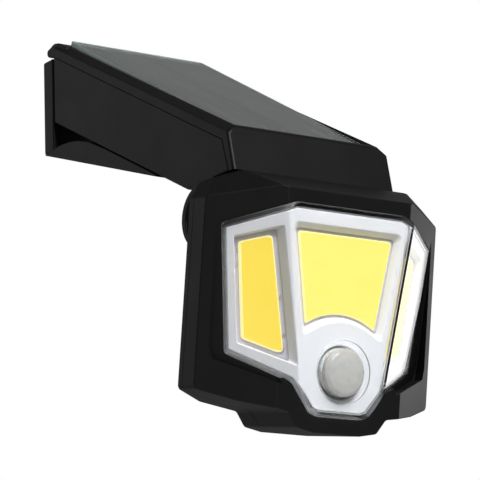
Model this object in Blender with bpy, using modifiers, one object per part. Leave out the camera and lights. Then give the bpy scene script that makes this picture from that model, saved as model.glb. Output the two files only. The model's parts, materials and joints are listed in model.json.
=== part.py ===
"""Solar flood light: wall bracket, wedge-shaped solar housing and a tilting lamp head.

World frame: metres, +Z up, the wall is the plane Y = 0 and the lamp faces -Y.
Every dimension below is in millimetres, and MM turns it into metres.
"""
import math

import bmesh
import bpy
from mathutils import Matrix, Vector

MM = 0.001

# ---------------------------------------------------------------- clearances
GAP = 0.3                # between faces that touch on the real lamp
BORE_GAP = 0.4           # radial, round a screw shank or the lead
CUT = 30.0               # how far a cutter runs past what it cuts

# ---------------------------------------------------------------- housing
HOUSING_HALF_WIDTH = 42.8
HOUSING_REAR_Y = -10.2
HOUSING_WALL = 2.3
BEZEL_REAR_Y = -13.0
BEZEL_FRONT_Y = -160.2
BEZEL_SLOPE = 0.5432     # rise over run of the sloping top edge
BEZEL_Z0 = 37.1          # height of the top edge's line at the wall
BEZEL_HALF_WIDTH = 38.1
BEZEL_CHAMFER_DROP = 3.2
SEAM_DROP = 7.8          # top edge down to the joint of cover and tray
BORDER = 3.6             # cover's front wall as seen from the side
FRONT_LEAN = 4.4         # how far the front face leans out at its foot
FLOOR_Z = -71.0          # flat underside over the hinge
BOTTOM_SLOPE = 0.53
BOTTOM_REAR_Z = -9.4
HOOK_TIP_Y = -0.5
HOOK_TOP_Z = 31.4
SLOT_Z = 24.2

# ---------------------------------------------------------------- solar panel
PANEL_REAR = (-18.2, 30.4)   # Y and Z of the glass's upper rear edge
PANEL_SLOPE = 30.1           # degrees
GLASS_HALF_WIDTH = 37.0
GLASS_FRONT_INSET = 3.5757727    # from the bezel's front edge back to the glass
GLASS_LENGTH = (PANEL_REAR[0] - BEZEL_FRONT_Y - GLASS_FRONT_INSET) / math.cos(math.radians(PANEL_SLOPE))
GLASS_THICKNESS = 2.6
CELL_THICKNESS = 0.5
CELL_MARGIN = 4.0
CELL_GAP = 1.2
BACKER_THICKNESS = 1.2
SEAL_THICKNESS = 1.0
SEAL_WIDTH = 2.6
LEDGE_THICKNESS = 2.0

# ---------------------------------------------------------------- bracket
PLATE_HALF_WIDTH = HOUSING_HALF_WIDTH
PLATE_DEPTH = 9.2
PLATE_TOP_Z = 23.3
PLATE_FOOT_Z = -23.3
GUSSET_TIP_Y = -101.0
GUSSET_APEX_Y = -56.5
GUSSET_WALL = 3.0
WEB_HALF_WIDTH = 31.0
WALL_HOLE_X = 24.0
WALL_HOLE_Z = 9.0
WALL_HOLE_R = 2.4
WALL_WEB = 4.0

# ---------------------------------------------------------------- hinge
HINGE_Y = BEZEL_FRONT_Y + 20.1
HINGE_Z = -86.65
TILT = 9.9               # degrees the lamp head faces down at rest
LUG_R = 12.0
LUG_NECK_HALF = 8.5
LUG_INNER_X = 30.8
BARREL_R = 12.0
BARREL_BORE_R = 8.6
BARREL_END_WALL = 6.0
WASHER_THICKNESS = 1.0
CAP_R = 14.1
CAP_DEPTH = 2.6
CAP_RECESS_R = 10.6
CAP_RECESS_DEPTH = 1.4
PIVOT_R = 2.0
PIVOT_HEAD_R = 4.2
PIVOT_HEAD_DEPTH = 1.8

# ---------------------------------------------------------------- lamp head
# Head coordinates: x across, h up the face, v outward; all from the hinge axis.
HEAD_OVERHANG = 18.2         # how far the head stands out past the housing's side
HEAD_HALF_WIDTH = HOUSING_HALF_WIDTH + HEAD_OVERHANG
HEAD_OUTLINE = [(HEAD_HALF_WIDTH - 19.0, 18.5), (HEAD_HALF_WIDTH - 6.0, 12.9), (HEAD_HALF_WIDTH, 4.4),
                (HEAD_HALF_WIDTH, -76.5), (HEAD_HALF_WIDTH - 16.0, -80.7), (25.4, -83.6), (20.7, -90.0),
                (12.0, -91.6)]
HEAD_WALL = 2.4
HEAD_BACK_V = 8.4
HEAD_SEAM_V = 20.4
HEAD_SIDE_REAR_V = 16.9
HEAD_FACE_V = 49.4
FACET_EDGE_X = 32.0      # where the flat middle of the face meets the side facets
FACET_SLOPE = 0.679
REAR_CHAMFER_SLOPE = 0.5
RECESS_CLEARANCE = 1.9       # from the hinge caps to the pocket round them in the head's back
RECESS_V = 15.2
RECESS_FLOOR_H = -16.2
TOP_FACET_DROP = 7.2
TOP_FACET_START_V = 29.7

# clear cover, reflector and boards
COVER_OUTLINE = [(28.0, 5.3), (54.6, -5.7), (48.3, -60.5), (24.6, -71.2), (15.2, -83.2),
                 (11.0, -84.6)]
COVER_FACE_V = 51.9
COVER_SIDE_V0 = 75.5
COVER_SIDE_SLOPE = 0.7404
COVER_SIDE_LEAN = 0.1086
COVER_WALL = 2.0
FLANGE_WIDTH = 2.6
FLANGE_V = (21.4, 23.4)
FRAME_POCKET = [(24.0, -60.0), (40.0, 6.0), (56.6, 6.0), (56.6, -58.5), (55.0, -63.6),
                (35.3, -70.4), (30.0, -72.3)]
POCKET_DROP = 0.6
REFLECTOR_SKIN = 3.2
REFLECTOR_BACK_V = 29.2
REFLECTOR_CLEARANCE = 1.0
BOARD_THICKNESS = 1.2
PHOSPHOR_THICKNESS = 0.9
CENTRE_LIGHT = [(0.0, -6.4), (23.0, -6.4), (24.2, -8.2), (18.4, -42.6), (16.8, -45.0)]
CENTRE_ARC_CENTRE_H = -72.8
CENTRE_ARC_R = 32.5
SIDE_LIGHT = [(45.3, -12.8), (34.2, -9.1), (25.5, -59.3), (40.3, -53.6)]
WINDOW_MARGIN = 2.2
BOARD_MARGIN = 2.8

# motion sensor
SENSOR_H = -65.1
DOME_R = 10.4
DOME_RISE = 7.0
DOME_WALL = 0.9
DOME_FLANGE_R = 12.6
DOME_FLANGE = 1.0
SENSOR_CAN_R = 4.6
SENSOR_CAN_HEIGHT = 4.2
SENSOR_BOARD = (22.0, 22.0, 1.2)

# driver board and button
DRIVER_BOARD = (66.0, 44.0, 1.6)
DRIVER_H = -38.0
DRIVER_V = 21.0
BUTTON_H = -47.0
BUTTON_R = 4.6
BUTTON_TRAVEL = 1.2
BUTTON_PROUD = 3.4
BUTTON_FLANGE_R = 6.2
BUTTON_FLANGE = 1.2
SWITCH_SIZE = (6.0, 6.0, 3.4)

# battery pack and charge board, placed along the panel's slope
CELL_R = 9.2
CELL_LENGTH = 65.0
BATTERY_PITCH = 2 * CELL_R + 2.0
BATTERY_START = 26.8 + CELL_R     # past the rear tray screws
BATTERY_DEPTH = 8.4 + CELL_R      # below the panel's backer
HOLDER_WALL = 1.6
CONTACT_THICKNESS = 0.6
CHARGE_BOARD = (52.0, 34.0, 1.6)
CHARGE_AT = GLASS_LENGTH - 56.0   # clear of the front tray screws
CHARGE_DEPTH = 20.0
PLUG_SIZE = (7.0, 8.0, 5.0)

# fasteners
SCREW_R = 1.25
SCREW_HEAD_R = 2.8
SCREW_HEAD = 2.0
POST_R = 3.2
TRAY_SCREW_X = HOUSING_HALF_WIDTH - HOUSING_WALL - POST_R - GAP
TRAY_SCREW_YS = (-20.0, BEZEL_FRONT_Y + 46.2)
TRAY_SCREWS = [(side * TRAY_SCREW_X, y) for y in TRAY_SCREW_YS for side in (-1, 1)]
TRAY_POST_MEET = 12.0        # below the seam, where tray boss and cover post meet
HEAD_SCREW_LOW = (HEAD_HALF_WIDTH - 7.8, -71.0)
HEAD_SCREW_HIGH = (HEAD_HALF_WIDTH - 9.6, 3.4)
HEAD_SCREWS = [(side * x, h) for x, h in (HEAD_SCREW_LOW, HEAD_SCREW_HIGH) for side in (-1, 1)]
HEAD_SCREW_WEB = 3.5         # shell left under a screw's head
HEAD_SCREW_LENGTH = 11.0
BRACKET_SCREW_X = 18.0
BRACKET_SCREW_Y = -74.0
BRACKET_SCREW_LENGTH = 9.0
BRACKET_SCREW_WEB = 2.8      # arm thickness left under a screw's head
LEAD_R = 1.6

# head seal
SEAL_HALF = 0.9          # half the cord's thickness
HEAD_SEAL_WIDTH = 1.2

# ---------------------------------------------------------------- colours
FINISHES = {
    "black_housing": ((0.018, 0.018, 0.019), 0.55, 0.0),
    "panel_glass": ((0.12, 0.13, 0.13), 0.08, 0.0),
    "solar_cell": ((0.020, 0.022, 0.035), 0.25, 0.0),
    "panel_backer": ((0.60, 0.60, 0.58), 0.60, 0.0),
    "seal_rubber": ((0.03, 0.03, 0.03), 0.85, 0.0),
    "clear_cover": ((0.90, 0.92, 0.93), 0.05, 0.0),
    "white_reflector": ((0.80, 0.81, 0.84), 0.40, 0.0),
    "led_board": ((0.62, 0.60, 0.68), 0.45, 0.0),
    "phosphor": ((1.0, 0.82, 0.22), 0.60, 0.0),
    "sensor_dome": ((0.72, 0.72, 0.68), 0.35, 0.0),
    "metal": ((0.55, 0.55, 0.56), 0.35, 1.0),
    "circuit_board": ((0.02, 0.16, 0.07), 0.50, 0.0),
    "black_part": ((0.02, 0.02, 0.02), 0.50, 0.0),
    "battery_wrap": ((0.05, 0.20, 0.55), 0.40, 0.0),
    "white_part": ((0.75, 0.75, 0.72), 0.50, 0.0),
    "lead_jacket": ((0.02, 0.02, 0.02), 0.60, 0.0),
}


# ================================================================ scene set-up
def clear_scene():
    """Remove every object the file opened with."""
    for item in list(bpy.data.objects):
        bpy.data.objects.remove(item, do_unlink=True)


def make_collection(name):
    """Return a new collection linked to the scene."""
    group = bpy.data.collections.new(name)
    bpy.context.scene.collection.children.link(group)
    return group


def make_material(name):
    """Return the Principled material of one finish, made once."""
    if name in bpy.data.materials:
        return bpy.data.materials[name]
    colour, roughness, metallic = FINISHES[name]
    material = bpy.data.materials.new(name)
    material.use_nodes = True
    shader = material.node_tree.nodes["Principled BSDF"]
    shader.inputs["Base Color"].default_value = (*colour, 1.0)
    shader.inputs["Roughness"].default_value = roughness
    shader.inputs["Metallic"].default_value = metallic
    return material


clear_scene()
PARTS = make_collection("solar_flood_light")
CUTTERS = make_collection("cutters")


def make_frame(name, location, rotation):
    """Return an empty that carries a group of pieces; location in mm, rotation in degrees."""
    empty = bpy.data.objects.new(name, None)
    empty.location = Vector(location) * MM
    empty.rotation_euler = [math.radians(angle) for angle in rotation]
    PARTS.objects.link(empty)
    return empty


# side frame: x runs along world Y, y along world Z, z along world X
SIDE = make_frame("side_frame", (0, 0, 0), (90, 0, 90))
# panel frame: y runs up the slope, z is the glass's outward normal
PANEL = make_frame("panel_frame", (0, *PANEL_REAR), (PANEL_SLOPE, 0, 0))
# head frame: x across, y up the face, z outward, origin on the hinge axis
HEAD = make_frame("head_axis", (0, HINGE_Y, HINGE_Z), (90 + TILT, 0, 0))
# world-aligned frame for upright screws
WORLD = make_frame("world_frame", (0, 0, 0), (0, 0, 0))


# ================================================================ mesh helpers
def add_object(name, mesh, parent, finish=None):
    """Link a mesh as a part with a finish, or as a hidden cutter without one."""
    item = bpy.data.objects.new(name, mesh)
    item.parent = parent
    if finish:
        PARTS.objects.link(item)
        mesh.materials.append(make_material(finish))
        mesh.shade_smooth()
        mesh.set_sharp_from_angle(angle=math.radians(30))
    else:
        CUTTERS.objects.link(item)
        item.hide_render = True
        item.display_type = "WIRE"
    return item


def mesh_from(name, bm):
    """Scale a bmesh from mm to metres and return it as a mesh."""
    bmesh.ops.scale(bm, vec=(MM, MM, MM), verts=bm.verts)
    bmesh.ops.recalc_face_normals(bm, faces=bm.faces)
    mesh = bpy.data.meshes.new(name)
    bm.to_mesh(mesh)
    bm.free()
    return mesh


def outline_bmesh(outline, low, high):
    """Extrude a flat outline along z from low to high, through a filled 2D curve."""
    curve = bpy.data.curves.new("outline", "CURVE")
    curve.dimensions = "2D"
    curve.fill_mode = "BOTH"
    curve.extrude = (high - low) / 2
    spline = curve.splines.new("POLY")
    spline.points.add(len(outline) - 1)
    for point, (x, y) in zip(spline.points, outline):
        point.co = (x, y, 0, 1)
    spline.use_cyclic_u = True
    item = bpy.data.objects.new("outline", curve)
    bpy.context.scene.collection.objects.link(item)
    bpy.context.view_layer.update()
    mesh = bpy.data.meshes.new_from_object(item.evaluated_get(bpy.context.evaluated_depsgraph_get()))
    bpy.data.objects.remove(item, do_unlink=True)
    bm = bmesh.new()
    bm.from_mesh(mesh)
    bpy.data.meshes.remove(mesh)
    bmesh.ops.remove_doubles(bm, verts=bm.verts, dist=0.001)
    bmesh.ops.translate(bm, vec=(0, 0, (low + high) / 2), verts=bm.verts)
    return bm


def slice_off(bm, point, normal):
    """Cut away what lies beyond a plane and close the cut."""
    geometry = list(bm.verts) + list(bm.edges) + list(bm.faces)
    bmesh.ops.bisect_plane(bm, geom=geometry, dist=0.0001, plane_co=point, plane_no=normal, clear_outer=True)
    rim = [edge for edge in bm.edges if edge.is_boundary]
    if rim:
        bmesh.ops.holes_fill(bm, edges=rim, sides=0)


def prism(name, parent, outline, low, high, finish=None, planes=()):
    """Extrude an outline along the frame's z axis and trim it by planes (point, normal)."""
    bm = outline_bmesh(outline, low, high)
    for point, normal in planes:
        slice_off(bm, Vector(point), Vector(normal))
    return add_object(name, mesh_from(name, bm), parent, finish)


def box(name, parent, low, high, finish=None):
    """Make a box between two corners."""
    bm = bmesh.new()
    bmesh.ops.create_cube(bm, size=1.0)
    size = [b - a for a, b in zip(low, high)]
    bmesh.ops.scale(bm, vec=size, verts=bm.verts)
    bmesh.ops.translate(bm, vec=[(a + b) / 2 for a, b in zip(low, high)], verts=bm.verts)
    return add_object(name, mesh_from(name, bm), parent, finish)


AXIS_TURN = {"x": Matrix.Rotation(math.radians(90), 4, "Y"),
             "y": Matrix.Rotation(math.radians(-90), 4, "X"),
             "z": Matrix.Identity(4)}


def cylinder(name, parent, centre, axis, radius, low, high, finish=None, sides=32):
    """Make a cylinder along x, y or z between two values on that axis."""
    bm = bmesh.new()
    bmesh.ops.create_cone(bm, cap_ends=True, segments=sides, radius1=radius, radius2=radius, depth=high - low)
    bmesh.ops.translate(bm, vec=(0, 0, (low + high) / 2), verts=bm.verts)
    bmesh.ops.transform(bm, matrix=AXIS_TURN[axis], verts=bm.verts)
    bmesh.ops.translate(bm, vec=centre, verts=bm.verts)
    return add_object(name, mesh_from(name, bm), parent, finish)


def turned(name, parent, centre, profile, finish, sides=40):
    """Turn a closed profile (radius, height), listed top to bottom, about the frame's z axis."""
    mesh = bpy.data.meshes.new(name)
    points = [(radius * MM, 0, height * MM) for radius, height in profile]
    mesh.from_pydata(points, [(i, i + 1) for i in range(len(points) - 1)], [])
    item = add_object(name, mesh, parent, finish)
    item.location = Vector(centre) * MM
    screw = item.modifiers.new("turn", "SCREW")
    screw.axis = "Z"
    screw.steps = sides
    screw.render_steps = sides
    screw.use_merge_vertices = True
    screw.merge_threshold = 0.00001
    return item


def boolean(item, other, operation="DIFFERENCE"):
    """Cut or join one object with another through an exact Boolean modifier."""
    step = item.modifiers.new(other.name, "BOOLEAN")
    step.operation = operation
    step.object = other
    return item


def cut(item, *cutters):
    """Cut a part by each cutter in turn."""
    for cutter in cutters:
        boolean(item, cutter)


def join(item, *pieces):
    """Join pieces to a part in turn."""
    for piece in pieces:
        boolean(item, piece, "UNION")


# ================================================================ outlines
def mirrored(half):
    """Complete an outline given for x >= 0 from its top centre to its bottom centre."""
    return half + [(-x, y) for x, y in reversed(half) if x > 0]


def inset(outline, amount):
    """Move every edge of a clockwise outline inward by an amount, or outward if it is negative."""
    moved = []
    count = len(outline)
    for index in range(count):
        before = Vector(outline[index - 1])
        here = Vector(outline[index])
        after = Vector(outline[(index + 1) % count])
        first = (here - before).normalized()
        second = (after - here).normalized()
        normal_one = Vector((first.y, -first.x))
        normal_two = Vector((second.y, -second.x))
        bend = 1 + normal_one.dot(normal_two)
        shift = (normal_one + normal_two) * (amount / bend)
        moved.append((here.x + shift.x, here.y + shift.y))
    return moved


def circle(centre_x, centre_y, radius, sides=40):
    """Return the corners of a regular polygon."""
    turn = 2 * math.pi / sides
    return [(centre_x + radius * math.cos(i * turn),
             centre_y + radius * math.sin(i * turn)) for i in range(sides)]


def flip_x(outline):
    """Mirror an outline to the other side and keep its direction."""
    return [(-x, y) for x, y in reversed(outline)]


def bezel_z(y):
    """Height of the housing's sloping top edge at a distance from the wall."""
    return BEZEL_Z0 + BEZEL_SLOPE * y


def bottom_z(y):
    """Height of the housing's sloping underside."""
    return BOTTOM_REAR_Z + BOTTOM_SLOPE * (y - HOUSING_REAR_Y)


def front_y(z):
    """Front face of the housing at a height."""
    top = bezel_z(BEZEL_FRONT_Y)
    return BEZEL_FRONT_Y - FRONT_LEAN * (top - z) / (top - FLOOR_Z)


FLOOR_BREAK_Y = HOUSING_REAR_Y + (FLOOR_Z - BOTTOM_REAR_Z) / BOTTOM_SLOPE


# ================================================================ head planes
def cover_side_plane(inward, side):
    """Plane of a side face of the cover, moved inward by a distance; side is +1 or -1."""
    normal = Vector((side * COVER_SIDE_SLOPE, -COVER_SIDE_LEAN, 1.0))
    height = COVER_SIDE_V0 - inward * normal.length
    return (0, 0, height), tuple(normal)


def lens_planes(inward):
    """Front and side planes of the cover, moved inward by a distance."""
    return [((0, 0, COVER_FACE_V - inward), (0, 0, 1)), cover_side_plane(inward, 1),
            cover_side_plane(inward, -1)]


def face_planes(inward):
    """Planes that bound the front of the lamp head, moved inward by a distance."""
    planes = [((0, 0, HEAD_FACE_V - inward), (0, 0, 1))]
    top_h = HEAD_OUTLINE[0][1]
    top = Vector((0, HEAD_FACE_V - TOP_FACET_START_V, TOP_FACET_DROP))
    shoulder = Vector((0.52, 0.677, 0.515))
    for side in (1, -1):
        facet = Vector((side * FACET_SLOPE, 0, 1))
        start = Vector((side * FACET_EDGE_X, 0, HEAD_FACE_V)) - facet.normalized() * inward
        planes.append((tuple(start), tuple(facet)))
        slant = Vector((side * shoulder.x, shoulder.y, shoulder.z))
        corner = Vector((side * HEAD_OUTLINE[1][0], HEAD_OUTLINE[1][1], TOP_FACET_START_V - 4.2))
        planes.append((tuple(corner - slant.normalized() * inward), tuple(slant)))
    edge = Vector((0, top_h, TOP_FACET_START_V)) - top.normalized() * inward
    planes.append((tuple(edge), tuple(top)))
    return planes


# ================================================================ wall bracket
def build_bracket():
    """Back plate, web and under-arm that carry the housing, with its two fixing screws."""
    plate = box("wall_bracket", SIDE, (-PLATE_DEPTH, PLATE_FOOT_Z, -PLATE_HALF_WIDTH),
                (0, PLATE_TOP_Z, PLATE_HALF_WIDTH), "black_housing")
    tip_z = bottom_z(GUSSET_TIP_Y) - GAP
    apex_z = bottom_z(GUSSET_APEX_Y) - GAP
    arm_outline = [(0.0, PLATE_FOOT_Z), (GUSSET_TIP_Y, tip_z - 1.0), (GUSSET_TIP_Y, tip_z),
                   (GUSSET_APEX_Y, apex_z),
                   (-24.8, PLATE_FOOT_Z + 0.6), (-15.3, PLATE_FOOT_Z + 1.4), (-8.0, PLATE_FOOT_Z + 0.8)]
    arm = prism("arm_solid", SIDE, arm_outline, -HOUSING_HALF_WIDTH, HOUSING_HALF_WIDTH)
    web_top = -PLATE_DEPTH + 3.0
    web_outline = [(web_top, PLATE_FOOT_Z + 0.2),
                   (GUSSET_APEX_Y + 6.0, bottom_z(GUSSET_APEX_Y + 6.0) - GAP - 1.5),
                   (GUSSET_APEX_Y + 6.0, bottom_z(GUSSET_APEX_Y + 6.0) - GAP),
                   (HOUSING_REAR_Y + GAP, bottom_z(HOUSING_REAR_Y + GAP) - GAP),
                   (web_top, BOTTOM_REAR_Z - 1.0)]
    web = prism("web_solid", SIDE, web_outline, -WEB_HALF_WIDTH, WEB_HALF_WIDTH)
    join(plate, arm, web)
    pocket_outline = [(-GUSSET_WALL - 4.0, PLATE_FOOT_Z - 8.0), (-88.0, tip_z - 8.0),
                      (-88.0, bottom_z(-88.0) - 3.2),
                      (-58.0, bottom_z(-58.0) - 3.6), (-26.0, PLATE_FOOT_Z - 3.0),
                      (-GUSSET_WALL - 4.0, PLATE_FOOT_Z - 3.0)]
    for index, (low, high) in enumerate([(-39.6, -25.0), (-11.0, 11.0), (25.0, 39.6)]):
        cut(plate, prism(f"arm_pocket_{index}", SIDE, pocket_outline, low, high))
    for index, side in enumerate((-1, 1)):
        centre = (0, WALL_HOLE_Z, side * WALL_HOLE_X)
        cut(plate, cylinder(f"wall_hole_{index}", SIDE, centre, "x", WALL_HOLE_R, -CUT, CUT))
        well = box(f"wall_well_{index}", SIDE, (-CUT, WALL_HOLE_Z - 7.0, side * WALL_HOLE_X - 7.0),
                   (-WALL_WEB, WALL_HOLE_Z + 7.0, side * WALL_HOLE_X + 7.0))
        cut(plate, well)
    return plate


def slope_frame():
    """Frame on the housing's underside where the bracket's screws enter; z points into the housing."""
    angle = math.degrees(math.atan(BOTTOM_SLOPE))
    return make_frame("underside_frame", (0, BRACKET_SCREW_Y, bottom_z(BRACKET_SCREW_Y)), (angle, 0, 0))


# ================================================================ fasteners
def screw(name, parent, centre, direction, length, finish="metal"):
    """Pan-head screw along the frame's z axis; direction +1 points the shank up z from the head."""
    profile = [(0.0, length), (SCREW_R, length), (SCREW_R, 0.0), (SCREW_HEAD_R, 0.0),
               (SCREW_HEAD_R, -SCREW_HEAD * 0.6),
               (SCREW_HEAD_R * 0.6, -SCREW_HEAD), (0.0, -SCREW_HEAD)]
    if direction < 0:
        profile = [(radius, -height) for radius, height in reversed(profile)]
    return turned(name, parent, centre, profile, finish, sides=20)


# ================================================================ housing
def seam_outline(drop):
    """Tray's side outline, with its top edge a given distance below the cover's joint."""
    def joint(y):
        return bezel_z(y) - SEAM_DROP - drop

    front_top = BEZEL_FRONT_Y + BORDER
    return [(HOUSING_REAR_Y, SLOT_Z - 0.6 - drop), (HOUSING_REAR_Y - 5.0, joint(HOUSING_REAR_Y - 5.0)),
            (front_top, joint(front_top)), (front_y(FLOOR_Z) + BORDER + drop, FLOOR_Z),
            (FLOOR_BREAK_Y, FLOOR_Z),
            (HOUSING_REAR_Y, BOTTOM_REAR_Z)]


def build_tray():
    """Lower half of the housing with the hinge lugs and the screw bosses; returns the underside's frame."""
    outline = seam_outline(GAP)
    tray = prism("lower_tray", SIDE, outline, -HOUSING_HALF_WIDTH, HOUSING_HALF_WIDTH, "black_housing")
    wall = HOUSING_WALL
    inside = [(HOUSING_REAR_Y - wall, CUT),
              (HOUSING_REAR_Y - wall, bottom_z(HOUSING_REAR_Y - wall) + wall * 1.13),
              (FLOOR_BREAK_Y + 1.0, FLOOR_Z + wall), (front_y(FLOOR_Z) - CUT, FLOOR_Z + wall),
              (front_y(FLOOR_Z) - CUT, CUT)]
    half = HOUSING_HALF_WIDTH - wall
    cut(tray, prism("tray_inside", SIDE, inside, -half, half))
    for index, side in enumerate((-1, 1)):
        low, high = sorted((side * LUG_INNER_X, side * HOUSING_HALF_WIDTH))
        disc = cylinder(f"lug_disc_{index}", SIDE, (HINGE_Y, HINGE_Z, 0), "z", LUG_R, low, high)
        neck = box(f"lug_neck_{index}", SIDE, (HINGE_Y - LUG_NECK_HALF, HINGE_Z, low),
                   (HINGE_Y + LUG_NECK_HALF, FLOOR_Z + wall / 2, high))
        join(tray, disc, neck)
        bore = cylinder(f"lug_bore_{index}", SIDE, (HINGE_Y, HINGE_Z, 0), "z", PIVOT_R + BORE_GAP, low - 1,
                        high + 1)
        cut(tray, bore)
    for index, (x, y) in enumerate(TRAY_SCREWS):
        top = tray_meet_z(y) - GAP
        boss = cylinder(f"tray_boss_{index}", WORLD, (x, y, 0), "z", POST_R + 1.0, bottom_z(y) + wall / 2, top)
        join(tray, boss)
        seat = tray_seat_z(y)
        cut(tray, cylinder(f"tray_bore_{index}", WORLD, (x, y, 0), "z", SCREW_R + BORE_GAP, seat - CUT,
                           top + 1))
        cut(tray, cylinder(f"tray_well_{index}", WORLD, (x, y, 0), "z", SCREW_HEAD_R + BORE_GAP, seat - CUT,
                           seat - GAP))
    frame = slope_frame()
    for index, side in enumerate((-1, 1)):
        centre = (side * BRACKET_SCREW_X, 0, 0)
        boss = cylinder(f"bracket_boss_{index}", frame, centre, "z", POST_R + 0.8, wall / 2,
                        BRACKET_SCREW_LENGTH)
        join(tray, boss)
        cut(tray, cylinder(f"bracket_bore_{index}", frame, centre, "z", SCREW_R + BORE_GAP, -CUT / 10,
                           BRACKET_SCREW_LENGTH + 1))
    port = cylinder("lead_port", WORLD, (0, HINGE_Y, 0), "z", LEAD_R + BORE_GAP, FLOOR_Z - 2,
                    FLOOR_Z + wall + 2)
    cut(tray, port)
    return frame


def tray_meet_z(y):
    """Height where a tray boss meets the cover's post."""
    return bezel_z(y) - SEAM_DROP - TRAY_POST_MEET


def tray_seat_z(y):
    """Height of the face a tray screw's head bears on."""
    return bottom_z(y) + 6.0


def panel_local(outline_half_width, front, rear, low, high, name, finish=None):
    """Flat rectangular slab in the panel frame."""
    return box(name, PANEL, (-outline_half_width, -front, low), (outline_half_width, -rear, high), finish)


def build_cover():
    """Upper half of the housing: bezel, front wall, hook and the recess for the glass."""
    def joint(y):
        return bezel_z(y) - SEAM_DROP

    front_foot = front_y(FLOOR_Z)
    outline = [(HOOK_TIP_Y, SLOT_Z + 2.6), (HOOK_TIP_Y, HOOK_TOP_Z - 2.6), (-3.0, HOOK_TOP_Z - 0.6),
               (-7.4, HOOK_TOP_Z),
               (BEZEL_REAR_Y, bezel_z(BEZEL_REAR_Y)), (BEZEL_FRONT_Y, bezel_z(BEZEL_FRONT_Y)),
               (front_foot, FLOOR_Z),
               (front_foot + BORDER, FLOOR_Z), (BEZEL_FRONT_Y + BORDER, joint(BEZEL_FRONT_Y + BORDER)),
               (HOUSING_REAR_Y - 5.0, joint(HOUSING_REAR_Y - 5.0)), (HOUSING_REAR_Y, SLOT_Z - 0.6)]
    outline.reverse()
    slope = Vector((BEZEL_SLOPE, -1.0)).normalized()
    planes = []
    for side in (1, -1):
        across = HOUSING_HALF_WIDTH - BEZEL_HALF_WIDTH
        normal = (-slope.x * across, -slope.y * across, side * BEZEL_CHAMFER_DROP * abs(slope.y))
        start = (BEZEL_FRONT_Y, bezel_z(BEZEL_FRONT_Y), side * BEZEL_HALF_WIDTH)
        planes.append((start, normal))
    cover = prism("top_cover", SIDE, outline, -HOUSING_HALF_WIDTH, HOUSING_HALF_WIDTH, "black_housing", planes)
    wall = HOUSING_WALL
    depth = GLASS_THICKNESS + SEAL_THICKNESS + LEDGE_THICKNESS + 3 * GAP
    rear_y = HOUSING_REAR_Y - wall
    roof = [(rear_y, panel_z(rear_y) - depth * 1.16), (rear_y, -CUT * 4), (front_foot + wall + 0.6, -CUT * 4),
            (front_foot + wall + 0.6, FLOOR_Z),
            (BEZEL_FRONT_Y + wall, panel_z(BEZEL_FRONT_Y + wall) - depth * 1.16)]
    half = HOUSING_HALF_WIDTH - wall
    cut(cover, prism("cover_inside", SIDE, list(reversed(roof)), -half, half))
    recess_floor = -(GLASS_THICKNESS + SEAL_THICKNESS + 2 * GAP)
    recess = panel_local(GLASS_HALF_WIDTH + GAP, GLASS_LENGTH + GAP, -GAP, recess_floor, CUT, "glass_recess")
    opening_half = GLASS_HALF_WIDTH - SEAL_WIDTH - GAP
    opening = panel_local(opening_half, GLASS_LENGTH - SEAL_WIDTH, SEAL_WIDTH, -CUT / 2, CUT, "panel_opening")
    cut(cover, recess, opening)
    for index, (x, y) in enumerate(TRAY_SCREWS):
        low = tray_meet_z(y)
        high = panel_z(y - POST_R) + recess_floor / math.cos(math.radians(PANEL_SLOPE)) - GAP
        post = cylinder(f"cover_post_{index}", WORLD, (x, y, 0), "z", POST_R, low, high)
        join(cover, post)
        cut(cover, cylinder(f"cover_pilot_{index}", WORLD, (x, y, 0), "z", SCREW_R + BORE_GAP, low - 1,
                            high - 2.5))


def panel_z(y):
    """Height of the glass's outer face at a distance from the wall."""
    return PANEL_REAR[1] + math.tan(math.radians(PANEL_SLOPE)) * (y - PANEL_REAR[0])


def build_panel():
    """Glass, cells, backer and seal of the solar panel."""
    panel_local(GLASS_HALF_WIDTH, GLASS_LENGTH, 0, -GLASS_THICKNESS, 0, "solar_glass", "panel_glass")
    top = -GLASS_THICKNESS - GAP
    half = GLASS_HALF_WIDTH - CELL_MARGIN
    for name, low, high in (("solar_cell_left", -half, -CELL_GAP / 2),
                            ("solar_cell_right", CELL_GAP / 2, half)):
        box(name, PANEL, (low, -GLASS_LENGTH + CELL_MARGIN, top - CELL_THICKNESS), (high, -CELL_MARGIN, top),
            "solar_cell")
    under = top - CELL_THICKNESS - GAP
    panel_local(half, GLASS_LENGTH - CELL_MARGIN, CELL_MARGIN, under - BACKER_THICKNESS, under, "panel_backer",
                "panel_backer")
    seal = panel_local(GLASS_HALF_WIDTH - GAP, GLASS_LENGTH - GAP, GAP, top - SEAL_THICKNESS, top,
                       "panel_seal",
                       "seal_rubber")
    hole = panel_local(GLASS_HALF_WIDTH - SEAL_WIDTH, GLASS_LENGTH - SEAL_WIDTH, SEAL_WIDTH, -CUT, CUT,
                       "seal_hole")
    cut(seal, hole)


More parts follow.
